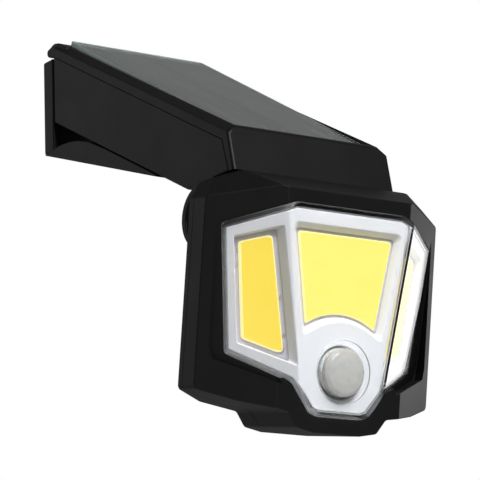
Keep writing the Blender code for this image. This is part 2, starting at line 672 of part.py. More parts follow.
def build_housing_insides():
    """Battery pack, charge board and the joint's sealing cord."""
    for index in range(2):
        along = BATTERY_START + index * BATTERY_PITCH
        name = ("battery_cell_rear", "battery_cell_front")[index]
        cylinder(name, PANEL, (0, -along, -BATTERY_DEPTH), "x", CELL_R, -CELL_LENGTH / 2, CELL_LENGTH / 2,
                 "battery_wrap")
    start = BATTERY_START - CELL_R - 1.0
    end = BATTERY_START + BATTERY_PITCH + CELL_R + 1.0
    under = -BATTERY_DEPTH - CELL_R - GAP
    inner = CELL_LENGTH / 2 + CONTACT_THICKNESS + 2 * GAP
    outer = inner + HOLDER_WALL
    holder = box("battery_holder", PANEL, (-outer, -end, under - HOLDER_WALL),
                 (outer, -start, -BATTERY_DEPTH + 3.0),
                 "black_part")
    cut(holder, box("holder_inside", PANEL, (-inner, -end - CUT, under), (inner, -start + CUT, CUT)))
    for name, side in (("battery_contact_left", -1), ("battery_contact_right", 1)):
        low, high = sorted((side * (CELL_LENGTH / 2 + GAP),
                            side * (CELL_LENGTH / 2 + GAP + CONTACT_THICKNESS)))
        box(name, PANEL, (low, -end + 2.0, -BATTERY_DEPTH - 6.0), (high, -start - 2.0, -BATTERY_DEPTH + 2.5),
            "metal")
    width, length, thick = CHARGE_BOARD
    box("charge_board", PANEL, (-width / 2, -CHARGE_AT - length / 2, -CHARGE_DEPTH - thick),
        (width / 2, -CHARGE_AT + length / 2, -CHARGE_DEPTH), "circuit_board")
    cylinder("charge_inductor", PANEL, (-14, -CHARGE_AT, -CHARGE_DEPTH + GAP), "z", 4.0, 0, 4.5, "black_part",
             24)
    plug_w, plug_l, plug_h = PLUG_SIZE
    box("lead_plug", PANEL, (-plug_w / 2, -CHARGE_AT - length / 2 + 1, -CHARGE_DEPTH + GAP),
        (plug_w / 2, -CHARGE_AT - length / 2 + 1 + plug_l, -CHARGE_DEPTH + GAP + plug_h), "white_part")


# ================================================================ hinge
def build_hinge():
    """End caps, pivot screws and friction washers on the tilt axis."""
    for name, side in (("left", -1), ("right", 1)):
        inner = HOUSING_HALF_WIDTH + GAP
        low, high = sorted((side * inner, side * (inner + CAP_DEPTH)))
        cap = cylinder(f"hinge_cap_{name}", SIDE, (HINGE_Y, HINGE_Z, 0), "z", CAP_R, low, high,
                       "black_housing", 48)
        outer = side * (inner + CAP_DEPTH)
        floor = side * (inner + CAP_DEPTH - CAP_RECESS_DEPTH)
        low, high = sorted((floor, outer + side))
        cut(cap, cylinder(f"cap_recess_{name}", SIDE, (HINGE_Y, HINGE_Z, 0), "z", CAP_RECESS_R, low, high,
                          sides=40))
        cut(cap, cylinder(f"cap_bore_{name}", SIDE, (HINGE_Y, HINGE_Z, 0), "z", PIVOT_R + BORE_GAP, -CUT * 2,
                          CUT * 2))
        seat = floor + side * GAP
        tip = side * (LUG_INNER_X - WASHER_THICKNESS - 2 * GAP - BARREL_END_WALL + 0.5)
        profile = [(0.0, abs(seat) + PIVOT_HEAD_DEPTH), (PIVOT_HEAD_R * 0.7, abs(seat) + PIVOT_HEAD_DEPTH),
                   (PIVOT_HEAD_R, abs(seat) + PIVOT_HEAD_DEPTH * 0.5), (PIVOT_HEAD_R, abs(seat)),
                   (PIVOT_R, abs(seat)),
                   (PIVOT_R, abs(tip)), (0.0, abs(tip))]
        if side < 0:
            profile = [(radius, -height) for radius, height in reversed(profile)]
        turned(f"pivot_screw_{name}", SIDE, (HINGE_Y, HINGE_Z, 0), profile, "metal", sides=24)
        inner = side * (LUG_INNER_X - GAP - WASHER_THICKNESS)
        low, high = sorted((inner, side * (LUG_INNER_X - GAP)))
        washer = cylinder(f"friction_washer_{name}", SIDE, (HINGE_Y, HINGE_Z, 0), "z", 9.5, low, high,
                          "white_part")
        cut(washer, cylinder(f"washer_bore_{name}", SIDE, (HINGE_Y, HINGE_Z, 0), "z", PIVOT_R + BORE_GAP,
                             -CUT * 2,
                             CUT * 2))


# ================================================================ lamp head
def build_rear_shell():
    """Back of the lamp head with the hinge barrel."""
    planes = []
    for side in (1, -1):
        planes.append(((side * HEAD_OUTLINE[2][0], 0, HEAD_SIDE_REAR_V), (side * REAR_CHAMFER_SLOPE, 0, -1)))
    top_h = HEAD_OUTLINE[0][1]
    planes.append(((0, top_h, HEAD_SEAM_V - 1.5), (0, 0.7, -1)))
    outline = mirrored(HEAD_OUTLINE)
    shell = prism("head_rear_shell", HEAD, outline, HEAD_BACK_V, HEAD_SEAM_V - GAP / 2, "black_housing",
                  planes)
    pocket_half = HOUSING_HALF_WIDTH + GAP + CAP_DEPTH + RECESS_CLEARANCE
    cut(shell, box("hinge_pocket", HEAD, (-pocket_half, RECESS_FLOOR_H, -CUT), (pocket_half, CUT, RECESS_V)))
    wall = HEAD_WALL
    inner = inset(outline, wall)
    cut(shell, prism("rear_cavity_upper", HEAD, inner, RECESS_V + wall, HEAD_SEAM_V + 1))
    lower = [(-41.0, RECESS_FLOOR_H - wall), (41.0, RECESS_FLOOR_H - wall), (41.0, -79.0), (23.0, -82.0),
             (18.0, -88.0),
             (-18.0, -88.0), (-23.0, -82.0), (-41.0, -79.0)]
    cut(shell, prism("rear_cavity_lower", HEAD, lower, HEAD_BACK_V + wall, HEAD_SEAM_V + 1))
    half = LUG_INNER_X - WASHER_THICKNESS - 2 * GAP
    barrel = cylinder("barrel_solid", HEAD, (0, 0, 0), "x", BARREL_R, -half, half)
    neck = box("barrel_neck", HEAD, (-half, -10.0, 0), (half, 9.0, RECESS_V + wall / 2))
    join(shell, barrel, neck)
    core = half - BARREL_END_WALL
    cut(shell, cylinder("barrel_bore", HEAD, (0, 0, 0), "x", BARREL_BORE_R, -core, core))
    cut(shell, cylinder("barrel_pivot_bore", HEAD, (0, 0, 0), "x", PIVOT_R + BORE_GAP, -CUT * 2, CUT * 2))
    cut(shell, box("lead_slot", HEAD, (-5.0, -3.0, -CUT), (5.0, CUT, 4.0)))
    cut(shell, cylinder("lead_hole", HEAD, (0, 0, 0), "z", LEAD_R + BORE_GAP, 0, HEAD_SEAM_V))
    for index, (x, h) in enumerate(HEAD_SCREWS):
        boss = cylinder(f"rear_boss_{index}", HEAD, (x, h, 0), "z", POST_R, HEAD_SEAM_V - 6.0,
                        HEAD_SEAM_V - GAP / 2)
        join(shell, boss)
        cut(shell, cylinder(f"rear_bore_{index}", HEAD, (x, h, 0), "z", SCREW_R + BORE_GAP, -CUT,
                            HEAD_SEAM_V + 1))
        cut(shell, cylinder(f"rear_well_{index}", HEAD, (x, h, 0), "z", SCREW_HEAD_R + BORE_GAP, -CUT,
                            HEAD_SEAM_V - HEAD_SCREW_WEB - GAP))
    cut(shell, cylinder("button_hole", HEAD, (0, BUTTON_H, 0), "z", BUTTON_R + GAP, 0, HEAD_SEAM_V))


def build_front_frame():
    """Front of the lamp head, with the opening for the clear cover."""
    outline = mirrored(HEAD_OUTLINE)
    frame = prism("head_front_frame", HEAD, outline, HEAD_SEAM_V + GAP / 2, HEAD_FACE_V + 1, "black_housing",
                  face_planes(0))
    wall = HEAD_WALL
    for side, name in ((1, "right"), (-1, "left")):
        pocket = FRAME_POCKET if side > 0 else flip_x(FRAME_POCKET)
        point, normal = cover_side_plane(POCKET_DROP, side)
        below = tuple(-value for value in normal)
        cut(frame, prism(f"pocket_{name}", HEAD, pocket, HEAD_SEAM_V, HEAD_FACE_V + CUT,
                         planes=[(point, below)]))
    hollow_planes = face_planes(wall) + lens_planes(POCKET_DROP + wall)[1:]
    cut(frame, prism("frame_hollow", HEAD, inset(outline, wall), HEAD_SEAM_V - 2, HEAD_FACE_V,
                     planes=hollow_planes))
    groove = prism("seal_groove", HEAD, inset(outline, wall), HEAD_SEAM_V - 2, HEAD_SEAM_V + SEAL_HALF + GAP)
    cut(groove, prism("groove_core", HEAD, inset(outline, wall + HEAD_SEAL_WIDTH + 2 * GAP), 0, CUT))
    cut(frame, groove)
    rim_planes = face_planes(wall / 2) + lens_planes(POCKET_DROP + wall / 2)[1:]
    rim_outline = inset(mirrored(COVER_OUTLINE), -FLANGE_WIDTH)
    join(frame, prism("cover_rim", HEAD, rim_outline, FLANGE_V[1] + GAP, HEAD_FACE_V, planes=rim_planes))
    opening = inset(mirrored(COVER_OUTLINE), -GAP)
    cut(frame, prism("cover_opening", HEAD, opening, HEAD_SEAM_V, HEAD_FACE_V + CUT))
    for index, (x, h) in enumerate(HEAD_SCREWS):
        post = cylinder(f"frame_post_{index}", HEAD, (x, h, 0), "z", POST_R, HEAD_SEAM_V + GAP / 2,
                        HEAD_SEAM_V + 12.0)
        join(frame, post)
        cut(frame, cylinder(f"frame_pilot_{index}", HEAD, (x, h, 0), "z", SCREW_R + BORE_GAP, HEAD_SEAM_V - 1,
                            HEAD_SEAM_V + 8.5))


def build_lens_stack():
    """Clear cover, reflector, light boards and their phosphor areas."""
    outline = mirrored(COVER_OUTLINE)
    cover = prism("clear_cover", HEAD, outline, FLANGE_V[0], COVER_FACE_V + 1, "clear_cover", lens_planes(0))
    join(cover, prism("cover_flange", HEAD, inset(outline, -FLANGE_WIDTH), *FLANGE_V))
    cut(cover, prism("cover_inside_solid", HEAD, inset(outline, COVER_WALL), FLANGE_V[0] - 1, COVER_FACE_V + 1,
                     planes=lens_planes(COVER_WALL)))
    cut(cover, cylinder("cover_sensor_hole", HEAD, (0, SENSOR_H, 0), "z", DOME_R + GAP, 0, COVER_FACE_V + CUT,
                        sides=48))

    back = COVER_WALL + REFLECTOR_CLEARANCE
    reflector = prism("reflector", HEAD, inset(outline, COVER_WALL + GAP * 2), REFLECTOR_BACK_V, COVER_FACE_V,
                      "white_reflector", lens_planes(back))
    cut(reflector, prism("reflector_inside", HEAD, inset(outline, COVER_WALL + GAP * 2 + 1.6),
                         REFLECTOR_BACK_V - 1,
                         COVER_FACE_V, planes=lens_planes(back + REFLECTOR_SKIN)))
    cut(reflector, cylinder("reflector_sensor_hole", HEAD, (0, SENSOR_H, 0), "z", DOME_R + 1.2, 0,
                            COVER_FACE_V + CUT,
                            sides=48))
    lights = {"centre": centre_light(0.0), "left": flip_x(SIDE_LIGHT), "right": SIDE_LIGHT}
    for name, light in lights.items():
        window = centre_light(WINDOW_MARGIN) if name == "centre" else grown(light, WINDOW_MARGIN)
        cut(reflector, prism(f"window_{name}", HEAD, window, REFLECTOR_BACK_V - 1, COVER_FACE_V + CUT))
        side = {"centre": 0, "left": -1, "right": 1}[name]
        surface = back + REFLECTOR_SKIN + GAP
        board_outline = centre_light(BOARD_MARGIN) if name == "centre" else grown(light, BOARD_MARGIN)
        slab(f"led_board_{name}", board_outline, side, surface, BOARD_THICKNESS, "led_board")
        slab(f"phosphor_{name}", light, side, surface - GAP - PHOSPHOR_THICKNESS, PHOSPHOR_THICKNESS,
             "phosphor")


def grown(outline, amount):
    """Grow a clockwise or counter-clockwise outline outward by an amount."""
    area = sum(a[0] * b[1] - b[0] * a[1] for a, b in zip(outline, outline[1:] + outline[:1]))
    return inset(outline, -amount) if area < 0 else inset(outline, amount)


def centre_light(margin):
    """Outline of the middle light area, whose foot is an arc round the sensor, grown by a margin."""
    half = [(x + (margin if x > 0 else 0), h + (margin if index < 2 else 0)) for index,
            (x, h) in enumerate(CENTRE_LIGHT)]
    half[-1] = (half[-1][0] - margin * 0.5, half[-1][1] - margin)
    half[-2] = (half[-2][0] - margin * 0.1, half[-2][1] - margin * 0.6)
    radius = CENTRE_ARC_R - margin
    steps = 6
    reach = math.asin(half[-1][0] / radius) if half[-1][0] < radius else math.radians(30)
    arc = []
    for index in range(1, steps + 1):
        angle = reach * (1 - index / steps)
        arc.append((radius * math.sin(angle), CENTRE_ARC_CENTRE_H + radius * math.cos(angle)))
    arc[-1] = (0.0, CENTRE_ARC_CENTRE_H + radius)
    return mirrored(half + arc)


def slab(name, outline, side, inward, thickness, finish):
    """Plate parallel to a face of the lens, its front a distance inside the cover's outer face."""
    if side == 0:
        front = COVER_FACE_V - inward
        return prism(name, HEAD, outline, front - thickness, front, finish)
    point, normal = cover_side_plane(inward, side)
    below_point, below_normal = cover_side_plane(inward + thickness, side)
    planes = [(point, normal), (below_point, tuple(-value for value in below_normal))]
    return prism(name, HEAD, outline, 0, COVER_FACE_V + CUT, finish, planes)


def build_sensor():
    """Fresnel dome, sensor can and the small board behind it."""
    base = COVER_FACE_V - COVER_WALL - REFLECTOR_CLEARANCE - REFLECTOR_SKIN - GAP
    rim = COVER_FACE_V + 0.4
    steps = 7
    outer = [(DOME_R * math.sin(a), rim + DOME_RISE * (math.cos(a)) * 0.5) for a in
             [math.pi / 2 * i / steps for i in range(steps + 1)]]
    inner = [((DOME_R - DOME_WALL) * math.sin(a), rim - DOME_WALL + DOME_RISE * math.cos(a) * 0.5) for a in
             [math.pi / 2 * i / steps for i in range(steps, -1, -1)]]
    profile = outer + [(DOME_R, base), (DOME_FLANGE_R, base), (DOME_FLANGE_R, base - DOME_FLANGE),
                       (DOME_R - DOME_WALL, base - DOME_FLANGE)] + inner
    turned("sensor_dome", HEAD, (0, SENSOR_H, 0), profile, "sensor_dome", sides=48)
    width, height, thick = SENSOR_BOARD
    low = base - DOME_FLANGE - GAP - thick
    box("sensor_board", HEAD, (-width / 2, SENSOR_H - height / 2, low),
        (width / 2, SENSOR_H + height / 2, low + thick),
        "circuit_board")
    cylinder("sensor_can", HEAD, (0, SENSOR_H, 0), "z", SENSOR_CAN_R, low + thick + GAP,
             low + thick + GAP + SENSOR_CAN_HEIGHT,
             "metal", 24)


def build_head_electronics():
    """Driver board, its plug and parts, and the mode button with its switch."""
    width, height, thick = DRIVER_BOARD
    low = (-width / 2, DRIVER_H - height / 2, DRIVER_V)
    box("driver_board", HEAD, low, (width / 2, DRIVER_H + height / 2, DRIVER_V + thick), "circuit_board")
    top = DRIVER_V + thick + GAP
    cylinder("driver_coil", HEAD, (20, DRIVER_H + 6, 0), "z", 4.5, top, top + 5.0, "black_part", 24)
    box("driver_chip", HEAD, (-14, DRIVER_H, top), (-4, DRIVER_H + 8, top + 1.6), "black_part")
    switch_w, switch_h, switch_d = SWITCH_SIZE
    switch_top = DRIVER_V - GAP
    box("mode_switch", HEAD, (-switch_w / 2, BUTTON_H - switch_h / 2, switch_top - switch_d),
        (switch_w / 2, BUTTON_H + switch_h / 2, switch_top), "black_part")
    press = switch_top - switch_d - GAP - BUTTON_TRAVEL
    flange_low = HEAD_BACK_V + HEAD_WALL + GAP
    profile = [(0.0, press), (2.2, press), (2.2, flange_low + BUTTON_FLANGE),
               (BUTTON_FLANGE_R, flange_low + BUTTON_FLANGE),
               (BUTTON_FLANGE_R, flange_low), (BUTTON_R, flange_low),
               (BUTTON_R, HEAD_BACK_V - BUTTON_PROUD + 0.8),
               (BUTTON_R - 0.8, HEAD_BACK_V - BUTTON_PROUD), (0.0, HEAD_BACK_V - BUTTON_PROUD)]
    turned("mode_button", HEAD, (0, BUTTON_H, 0), profile, "seal_rubber", sides=28)


def build_head_seal():
    """Sealing ring between the two halves of the head, inside their walls."""
    outline = mirrored(HEAD_OUTLINE)
    outer = inset(outline, HEAD_WALL + GAP)
    ring = prism("head_seal", HEAD, outer, HEAD_SEAM_V - SEAL_HALF, HEAD_SEAM_V + SEAL_HALF, "seal_rubber")
    cut(ring, prism("head_seal_hole", HEAD, inset(outline, HEAD_WALL + GAP + HEAD_SEAL_WIDTH), 0, CUT))


# ================================================================ internal lead
def smooth_route(points, per_span):
    """Return points on a Catmull-Rom curve through the given ones."""
    spots = [Vector(p) for p in points]
    spots = [spots[0] * 2 - spots[1]] + spots + [spots[-1] * 2 - spots[-2]]
    route = []
    for a, b, c, d in zip(spots, spots[1:], spots[2:], spots[3:]):
        for step in range(per_span):
            t = step / per_span
            route.append(0.5 * ((2 * b) + (c - a) * t + (2 * a - 5 * b + 4 * c - d) * t * t
                                + (3 * b - a - 3 * c + d) * t ** 3))
    route.append(spots[-2])
    return route


def lead(name, parent, points):
    """Round lead along a smooth route."""
    curve = bpy.data.curves.new(name, "CURVE")
    curve.dimensions = "3D"
    curve.bevel_depth = LEAD_R * MM
    curve.bevel_resolution = 2
    curve.use_fill_caps = True
    route = smooth_route(points, 4)
    spline = curve.splines.new("POLY")
    spline.points.add(len(route) - 1)
    for point, spot in zip(spline.points, route):
        point.co = (*(spot * MM), 1)
    curve.materials.append(make_material("lead_jacket"))
    item = bpy.data.objects.new(name, curve)
    item.parent = parent
    PARTS.objects.link(item)
    return item


def build_leads():
    """Lead from the charge board to the hinge axis, and from there into the head."""
    plug_y = HINGE_Y + 26.0
    lead("lead_housing", WORLD, [(0, plug_y, -57.6), (0, plug_y - 6, -60.4), (0, HINGE_Y + 8, -63.4),
                                 (0, HINGE_Y + 1.2, -66.5), (0, HINGE_Y, -71.0), (0, HINGE_Y, -78.0),
                                 (0, HINGE_Y, HINGE_Z + 1.2)])
    lead("lead_head", HEAD, [(0, 0, 2.0), (0, 0, 8.0), (0, 0, 14.0), (0, 0, 19.0), (0, -2.6, 23.4),
                             (0, -8.0, 25.2),
                             (0, DRIVER_H + 19.0, 25.2)])


def build_screws(underside):
    """Every screw that holds the shells together."""
    for index, (x, y) in enumerate(TRAY_SCREWS):
        name = ("rear_left", "rear_right", "front_left", "front_right")[index]
        seat = tray_seat_z(y)
        screw(f"tray_screw_{name}", WORLD, (x, y, seat - GAP), 1, tray_meet_z(y) - seat + 6.0)
    for index, (x, h) in enumerate(HEAD_SCREWS):
        name = ("lower_left", "lower_right", "upper_left", "upper_right")[index]
        screw(f"head_screw_{name}", HEAD, (x, h, HEAD_SEAM_V - HEAD_SCREW_WEB - 2 * GAP), 1, HEAD_SCREW_LENGTH)
    for name, side in (("left", -1), ("right", 1)):
        seat = -BRACKET_SCREW_WEB - GAP
        screw(f"bracket_screw_{name}", underside, (side * BRACKET_SCREW_X, 0, seat), 1,
              BRACKET_SCREW_LENGTH - seat - 1.0)


def build():
    """Build the whole lamp."""
    bracket = build_bracket()
    underside = build_tray()
    for index, side in enumerate((-1, 1)):
        centre = (side * BRACKET_SCREW_X, 0, 0)
        cut(bracket, cylinder(f"arm_screw_bore_{index}", underside, centre, "z", SCREW_R + BORE_GAP, -CUT,
                              CUT / 2))
        cut(bracket, cylinder(f"arm_screw_well_{index}", underside, centre, "z", SCREW_HEAD_R + BORE_GAP, -CUT,
                              -BRACKET_SCREW_WEB))
    build_cover()
    build_panel()
    build_housing_insides()
    build_hinge()
    build_rear_shell()
    build_front_frame()
    build_lens_stack()
    build_sensor()
    build_head_electronics()
    build_head_seal()
    build_leads()
    build_screws(underside)


build()
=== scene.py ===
"""Looks of the solar flood light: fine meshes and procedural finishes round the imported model."""
import json
import logging
import math
from collections.abc import Callable, Iterable, Sequence
from dataclasses import dataclass
from enum import Enum

import bmesh
import bpy
from mathutils import Matrix, Vector


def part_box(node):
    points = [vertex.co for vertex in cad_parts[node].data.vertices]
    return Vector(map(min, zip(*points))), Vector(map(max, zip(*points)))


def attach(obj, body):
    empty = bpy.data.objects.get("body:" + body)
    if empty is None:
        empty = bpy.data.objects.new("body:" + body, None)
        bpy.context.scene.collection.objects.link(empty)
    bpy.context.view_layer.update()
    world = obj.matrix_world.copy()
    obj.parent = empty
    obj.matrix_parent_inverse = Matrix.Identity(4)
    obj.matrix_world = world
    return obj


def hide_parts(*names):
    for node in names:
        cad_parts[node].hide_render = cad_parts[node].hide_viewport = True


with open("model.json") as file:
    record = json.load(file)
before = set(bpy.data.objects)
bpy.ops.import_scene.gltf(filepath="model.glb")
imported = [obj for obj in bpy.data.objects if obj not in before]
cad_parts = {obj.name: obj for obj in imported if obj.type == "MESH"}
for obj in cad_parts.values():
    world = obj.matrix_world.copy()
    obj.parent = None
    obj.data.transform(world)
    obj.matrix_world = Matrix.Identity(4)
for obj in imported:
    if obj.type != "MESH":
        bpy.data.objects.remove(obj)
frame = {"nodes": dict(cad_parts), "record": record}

log = logging.getLogger("flood_light")

MM = 0.001
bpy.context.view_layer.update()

Point2 = tuple[float, float]
Point3 = tuple[float, float, float]
Colour = tuple[float, float, float]


class Body(str, Enum):
    """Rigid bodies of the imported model."""

    ROOT = "root"
    HEAD = "head"
    BUTTON = "mode_button"


class Slot(str, Enum):
    """Material slots of the record, one named for each piece made here; nothing fills them."""

    HOUSING = "black_housing"
    GLASS = "panel_glass"
    RUBBER = "seal_rubber"
    COVER = "clear_cover"
    REFLECTOR = "white_reflector"
    PHOSPHOR = "phosphor"
    DOME = "sensor_dome"
    METAL = "metal"


class Side(int, Enum):
    """Left or right of the lamp, as the sign of X."""

    LEFT = -1
    RIGHT = 1

    @property
    def word(self) -> str:
        """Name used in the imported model's nodes."""
        return "left" if self is Side.LEFT else "right"


# ================================================================ places
def joint_record(name: str) -> dict:
    """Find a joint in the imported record.

    Args:
        name: the joint's name.

    Returns:
        The joint's entry.
    """
    return next(j for j in frame["record"]["behaviour"]["joints"] if j["name"] == name)


def axes_matrix(origin: Vector, x: Vector, y: Vector, z: Vector) -> Matrix:
    """Build the matrix of a local frame in mm.

    Args:
        origin: the frame's origin, in metres.
        x: direction of local x.
        y: direction of local y.
        z: direction of local z.

    Returns:
        A matrix from local millimetres to metres in the row frame.
    """
    turn = Matrix((x, y, z)).transposed().to_4x4()
    return Matrix.Translation(origin) @ turn @ Matrix.Scale(MM, 4)


@dataclass(frozen=True)
class Places:
    """Local frames that the sub-assemblies are drawn in."""

    world: Matrix
    side: Matrix
    panel: Matrix
    head: Matrix
    underside: Matrix


def find_places(panel_slope: float, glass_thickness: float, arm_screw_y: float, bottom: "Slope") -> Places:
    """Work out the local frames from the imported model.

    Args:
        panel_slope: slope of the solar glass in degrees.
        glass_thickness: thickness of the solar glass in mm.
        arm_screw_y: Y of the bracket's arm screws in mm.
        bottom: line of the housing's underside.

    Returns:
        The frames.
    """
    ex, ey, ez = Vector((1, 0, 0)), Vector((0, 1, 0)), Vector((0, 0, 1))
    pivot = Vector(joint_record("head_tilt")["pos_m"])
    outward = Vector(joint_record("mode_button_press")["axis"]).normalized()
    up = outward.cross(ex)
    lean = math.radians(panel_slope)
    glass_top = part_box("solar_glass")[1]
    rear = Vector((0, glass_top[1] - glass_thickness * MM * math.sin(lean), glass_top[2]))
    panel_up = Vector((0, math.cos(lean), math.sin(lean)))
    under = math.atan(bottom.rise)
    under_origin = Vector((0, arm_screw_y, bottom.at(arm_screw_y))) * MM
    under_up = Vector((0, math.cos(under), math.sin(under)))
    return Places(
        world=Matrix.Scale(MM, 4),
        side=axes_matrix(Vector(), ey, ez, ex),
        panel=axes_matrix(rear, ex, panel_up, ex.cross(panel_up)),
        head=axes_matrix(pivot, ex, up, outward),
        underside=axes_matrix(under_origin, ex, under_up, ex.cross(under_up)),
    )


@dataclass(frozen=True)
class Slope:
    """A straight line of height over distance, in mm."""

    start: Point2
    rise: float

    def at(self, y: float) -> float:
        """Height at a distance."""
        return self.start[1] + self.rise * (y - self.start[0])


# ================================================================ outlines
def mirrored(half: Sequence[Point2]) -> list[Point2]:
    """Complete an outline given for x > 0, from top to bottom."""
    return list(half) + [(-x, y) for x, y in reversed(half)]


def flipped(outline: Sequence[Point2]) -> list[Point2]:
    """Mirror an outline to the other side and keep its turning sense."""
    return [(-x, y) for x, y in reversed(outline)]


def signed_area(outline: Sequence[Point2]) -> float:
    """Area of an outline, positive when it runs counter-clockwise."""
    following = list(outline[1:]) + [outline[0]]
    return sum(a[0] * b[1] - b[0] * a[1] for a, b in zip(outline, following)) / 2


def grown(outline: Sequence[Point2], amount: float) -> list[Point2]:
    """Move every edge of an outline outward.

    Args:
        outline: corners in order.
        amount: distance in mm, negative to move inward.

    Returns:
        The moved corners.
    """
    sense = -1 if signed_area(outline) < 0 else 1
    moved = []
    for index, here in enumerate(outline):
        before, after = Vector(outline[index - 1]), Vector(outline[(index + 1) % len(outline)])
        first, second = (Vector(here) - before).normalized(), (after - Vector(here)).normalized()
        normals = Vector((first.y, -first.x)), Vector((second.y, -second.x))
        shift = (normals[0] + normals[1]) * (sense * amount / (1 + normals[0].dot(normals[1])))
        moved.append((here[0] + shift.x, here[1] + shift.y))
    return moved


def soft_corners(outline: Sequence[Point2], radius: float, steps: int = 5,
                 bend: float = 15.0) -> list[Point2]:
    """Replace each corner of an outline by an arc.

    Args:
        outline: corners in order.
        radius: radius of the arcs in mm.
        steps: spans in each arc.
        bend: corners flatter than this many degrees stay.

    Returns:
        The points of the rounded outline.
    """
    points: list[Point2] = []
    for index, here in enumerate(outline):
        corner = Vector(here)
        back = Vector(outline[index - 1]) - corner
        ahead = Vector(outline[(index + 1) % len(outline)]) - corner
        if back.angle(ahead) > math.radians(180 - bend):
            points.append(tuple(here))
            continue
        half_angle = back.angle(ahead) / 2
        run = min(radius / math.tan(half_angle), back.length * 0.45, ahead.length * 0.45)
        start, end = corner + back.normalized() * run, corner + ahead.normalized() * run
        for step in range(steps + 1):
            t = step / steps
            spot = start * (1 - t) ** 2 + corner * (2 * t * (1 - t)) + end * t ** 2
            points.append((spot.x, spot.y))
    return points


def arc(centre: Point2, radius: float, start: float, end: float, steps: int) -> list[Point2]:
    """Points on an arc, ends included.

    Args:
        centre: centre of the arc.
        radius: its radius.
        start: first angle in degrees.
        end: last angle in degrees.
        steps: number of spans.

    Returns:
        The points.
    """
    angles = [math.radians(start + (end - start) * i / steps) for i in range(steps + 1)]
    return [(centre[0] + radius * math.cos(a), centre[1] + radius * math.sin(a)) for a in angles]


# ================================================================ solids
@dataclass(frozen=True)
class Trim:
    """A plane that trims a solid: what lies on its normal's side goes."""

    point: Point3
    normal: Point3

    def inward(self, amount: float) -> "Trim":
        """The same plane moved against its normal by an amount."""
        moved = Vector(self.point) - Vector(self.normal).normalized() * amount
        return Trim(tuple(moved), self.normal)

    def reversed(self) -> "Trim":
        """The same plane, trimming its other side."""
        return Trim(self.point, tuple(-value for value in self.normal))


EdgeTest = Callable[[Vector, Vector], bool]


